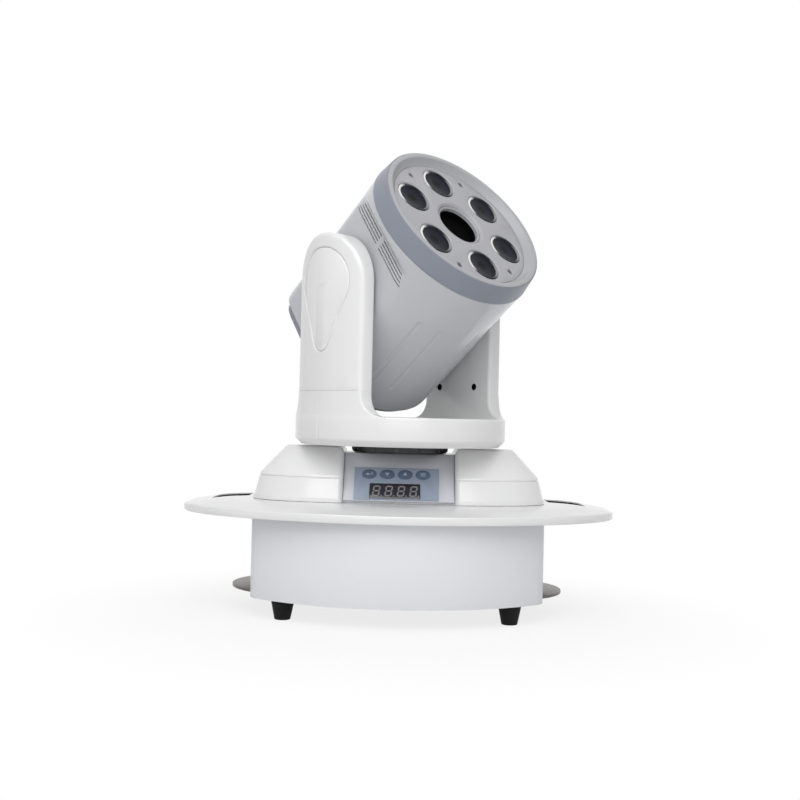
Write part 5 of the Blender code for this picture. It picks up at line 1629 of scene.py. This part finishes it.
@dataclass
class Studio:
    """A pale floor, soft light, a white surround and the camera."""

    floor_z: float = -23.3 * MM
    camera_at: Place = (-1 * MM, -1250 * MM, 182.5 * MM)
    focal: float = 53.89
    pitch: float = math.radians(0.717)
    roll: float = math.radians(1.35)
    fill: float = 0.34

    def build(self) -> None:
        """Sets the stage."""
        scene = bpy.context.scene
        scene.view_settings.view_transform = "Standard"
        self._floor()
        self._surround(scene)
        self._lamp("front_light", (-0.15, -1.45, 1.6), (0.0, 0.0, 0.15), (2.0, 1.8), 29.0)
        self._lamp("low_light", (0.1, -1.9, 0.4), (0.0, 0.0, 0.15), (1.4, 0.5), 2.5)
        self._lamp("top_light", (-0.1, 0.1, 1.7), (0.0, 0.0, 0.2), (1.8, 1.6), 1.5)
        self._camera(scene)

    def _floor(self) -> None:
        """A wide pale floor that shows white to the camera but keeps the shadow."""
        bpy.ops.object.select_all(action="DESELECT")
        bpy.ops.mesh.primitive_plane_add(size=30, location=(0, 0, self.floor_z - 0.1 * MM))
        floor = Bench.name(bpy.context.object, "floor")
        made = bpy.data.materials.new("pale_floor")
        made.use_nodes = True
        tree = made.node_tree
        shader = tree.nodes["Principled BSDF"]
        shader.inputs["Base Color"].default_value = (0.86, 0.86, 0.86, 1)
        shader.inputs["Roughness"].default_value = 0.8
        glow = tree.nodes.new("ShaderNodeEmission")
        glow.inputs["Strength"].default_value = 1.0
        rays = self._seen(tree)
        distance = tree.nodes.new("ShaderNodeVectorMath")
        distance.operation = "LENGTH"
        tree.links.new(tree.nodes.new("ShaderNodeTexCoord").outputs["Object"], distance.inputs[0])
        fade = tree.nodes.new("ShaderNodeMapRange")
        fade.interpolation_type = "SMOOTHSTEP"
        fade.inputs["From Min"].default_value = 0.16
        fade.inputs["From Max"].default_value = 0.42
        fade.inputs["To Min"].default_value = 0.8
        fade.inputs["To Max"].default_value = 1.0
        tree.links.new(distance.outputs["Value"], fade.inputs["Value"])
        share = tree.nodes.new("ShaderNodeMath")
        share.operation = "MULTIPLY"
        tree.links.new(rays, share.inputs[0])
        tree.links.new(fade.outputs["Result"], share.inputs[1])
        mix = tree.nodes.new("ShaderNodeMixShader")
        tree.links.new(share.outputs[0], mix.inputs[0])
        tree.links.new(shader.outputs[0], mix.inputs[1])
        tree.links.new(glow.outputs[0], mix.inputs[2])
        tree.links.new(mix.outputs[0], tree.nodes["Material Output"].inputs["Surface"])
        floor.data.materials.append(made)

    @staticmethod
    def _seen(tree: bpy.types.NodeTree) -> bpy.types.NodeSocket:
        """Says where a ray comes from the camera, a reflection or through glass.

        Args:
            tree: The nodes to add to.

        Returns:
            1 for such a ray and 0 for any other.
        """
        path = tree.nodes.new("ShaderNodeLightPath")
        first = tree.nodes.new("ShaderNodeMath")
        first.operation = "MAXIMUM"
        tree.links.new(path.outputs["Is Camera Ray"], first.inputs[0])
        tree.links.new(path.outputs["Is Glossy Ray"], first.inputs[1])
        second = tree.nodes.new("ShaderNodeMath")
        second.operation = "MAXIMUM"
        tree.links.new(first.outputs[0], second.inputs[0])
        tree.links.new(path.outputs["Is Transmission Ray"], second.inputs[1])
        return second.outputs[0]

    def _surround(self, scene: bpy.types.Scene) -> None:
        """A white surround for the camera and reflections, and a softer fill for the rest."""
        world = bpy.data.worlds.new("surround")
        scene.world = world
        world.use_nodes = True
        tree = world.node_tree
        back = tree.nodes["Background"]
        back.inputs["Color"].default_value = (1, 1, 1, 1)
        level = tree.nodes.new("ShaderNodeMapRange")
        level.inputs["To Min"].default_value = self.fill
        level.inputs["To Max"].default_value = 1.0
        tree.links.new(self._seen(tree), level.inputs["Value"])
        tree.links.new(level.outputs["Result"], back.inputs["Strength"])

    @staticmethod
    def _lamp(name: str, at: Place, towards: Place, size: Point, power: float) -> None:
        """Adds a soft area lamp.

        Args:
            name: The lamp's name.
            at: Where it is.
            towards: What it points at.
            size: Its width and height.
            power: Its power in watts.
        """
        lamp = bpy.data.lights.new(name, "AREA")
        lamp.shape = "RECTANGLE"
        lamp.size, lamp.size_y = size
        lamp.energy = power
        made = bpy.data.objects.new(name, lamp)
        bpy.context.scene.collection.objects.link(made)
        made.location = at
        aim = Vector(towards) - Vector(at)
        made.rotation_euler = aim.to_track_quat("-Z", "Y").to_euler()

    def _camera(self, scene: bpy.types.Scene) -> None:
        """Sets the camera at the photograph's place, nearly level and slightly rolled."""
        lens = bpy.data.cameras.new("camera")
        lens.sensor_width = 36
        lens.sensor_fit = "HORIZONTAL"
        lens.lens = self.focal
        camera = bpy.data.objects.new("camera", lens)
        scene.collection.objects.link(camera)
        turn = Matrix.Rotation(math.pi / 2 + self.pitch, 4, "X") @ Matrix.Rotation(self.roll, 4, "Z")
        camera.matrix_world = Matrix.Translation(self.camera_at) @ turn
        scene.camera = camera


def main() -> None:
    """Builds every sub-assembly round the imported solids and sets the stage."""
    logging.basicConfig(level=logging.INFO, format="%(message)s")
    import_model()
    for assembly in (BaseBox(), Wing(), Cover(), ControlPanel(), Yoke(), Head(), Insides(), Studio()):
        LOG.info("building %s", type(assembly).__name__)
        assembly.build()


if __name__ == "__main__":
    main()
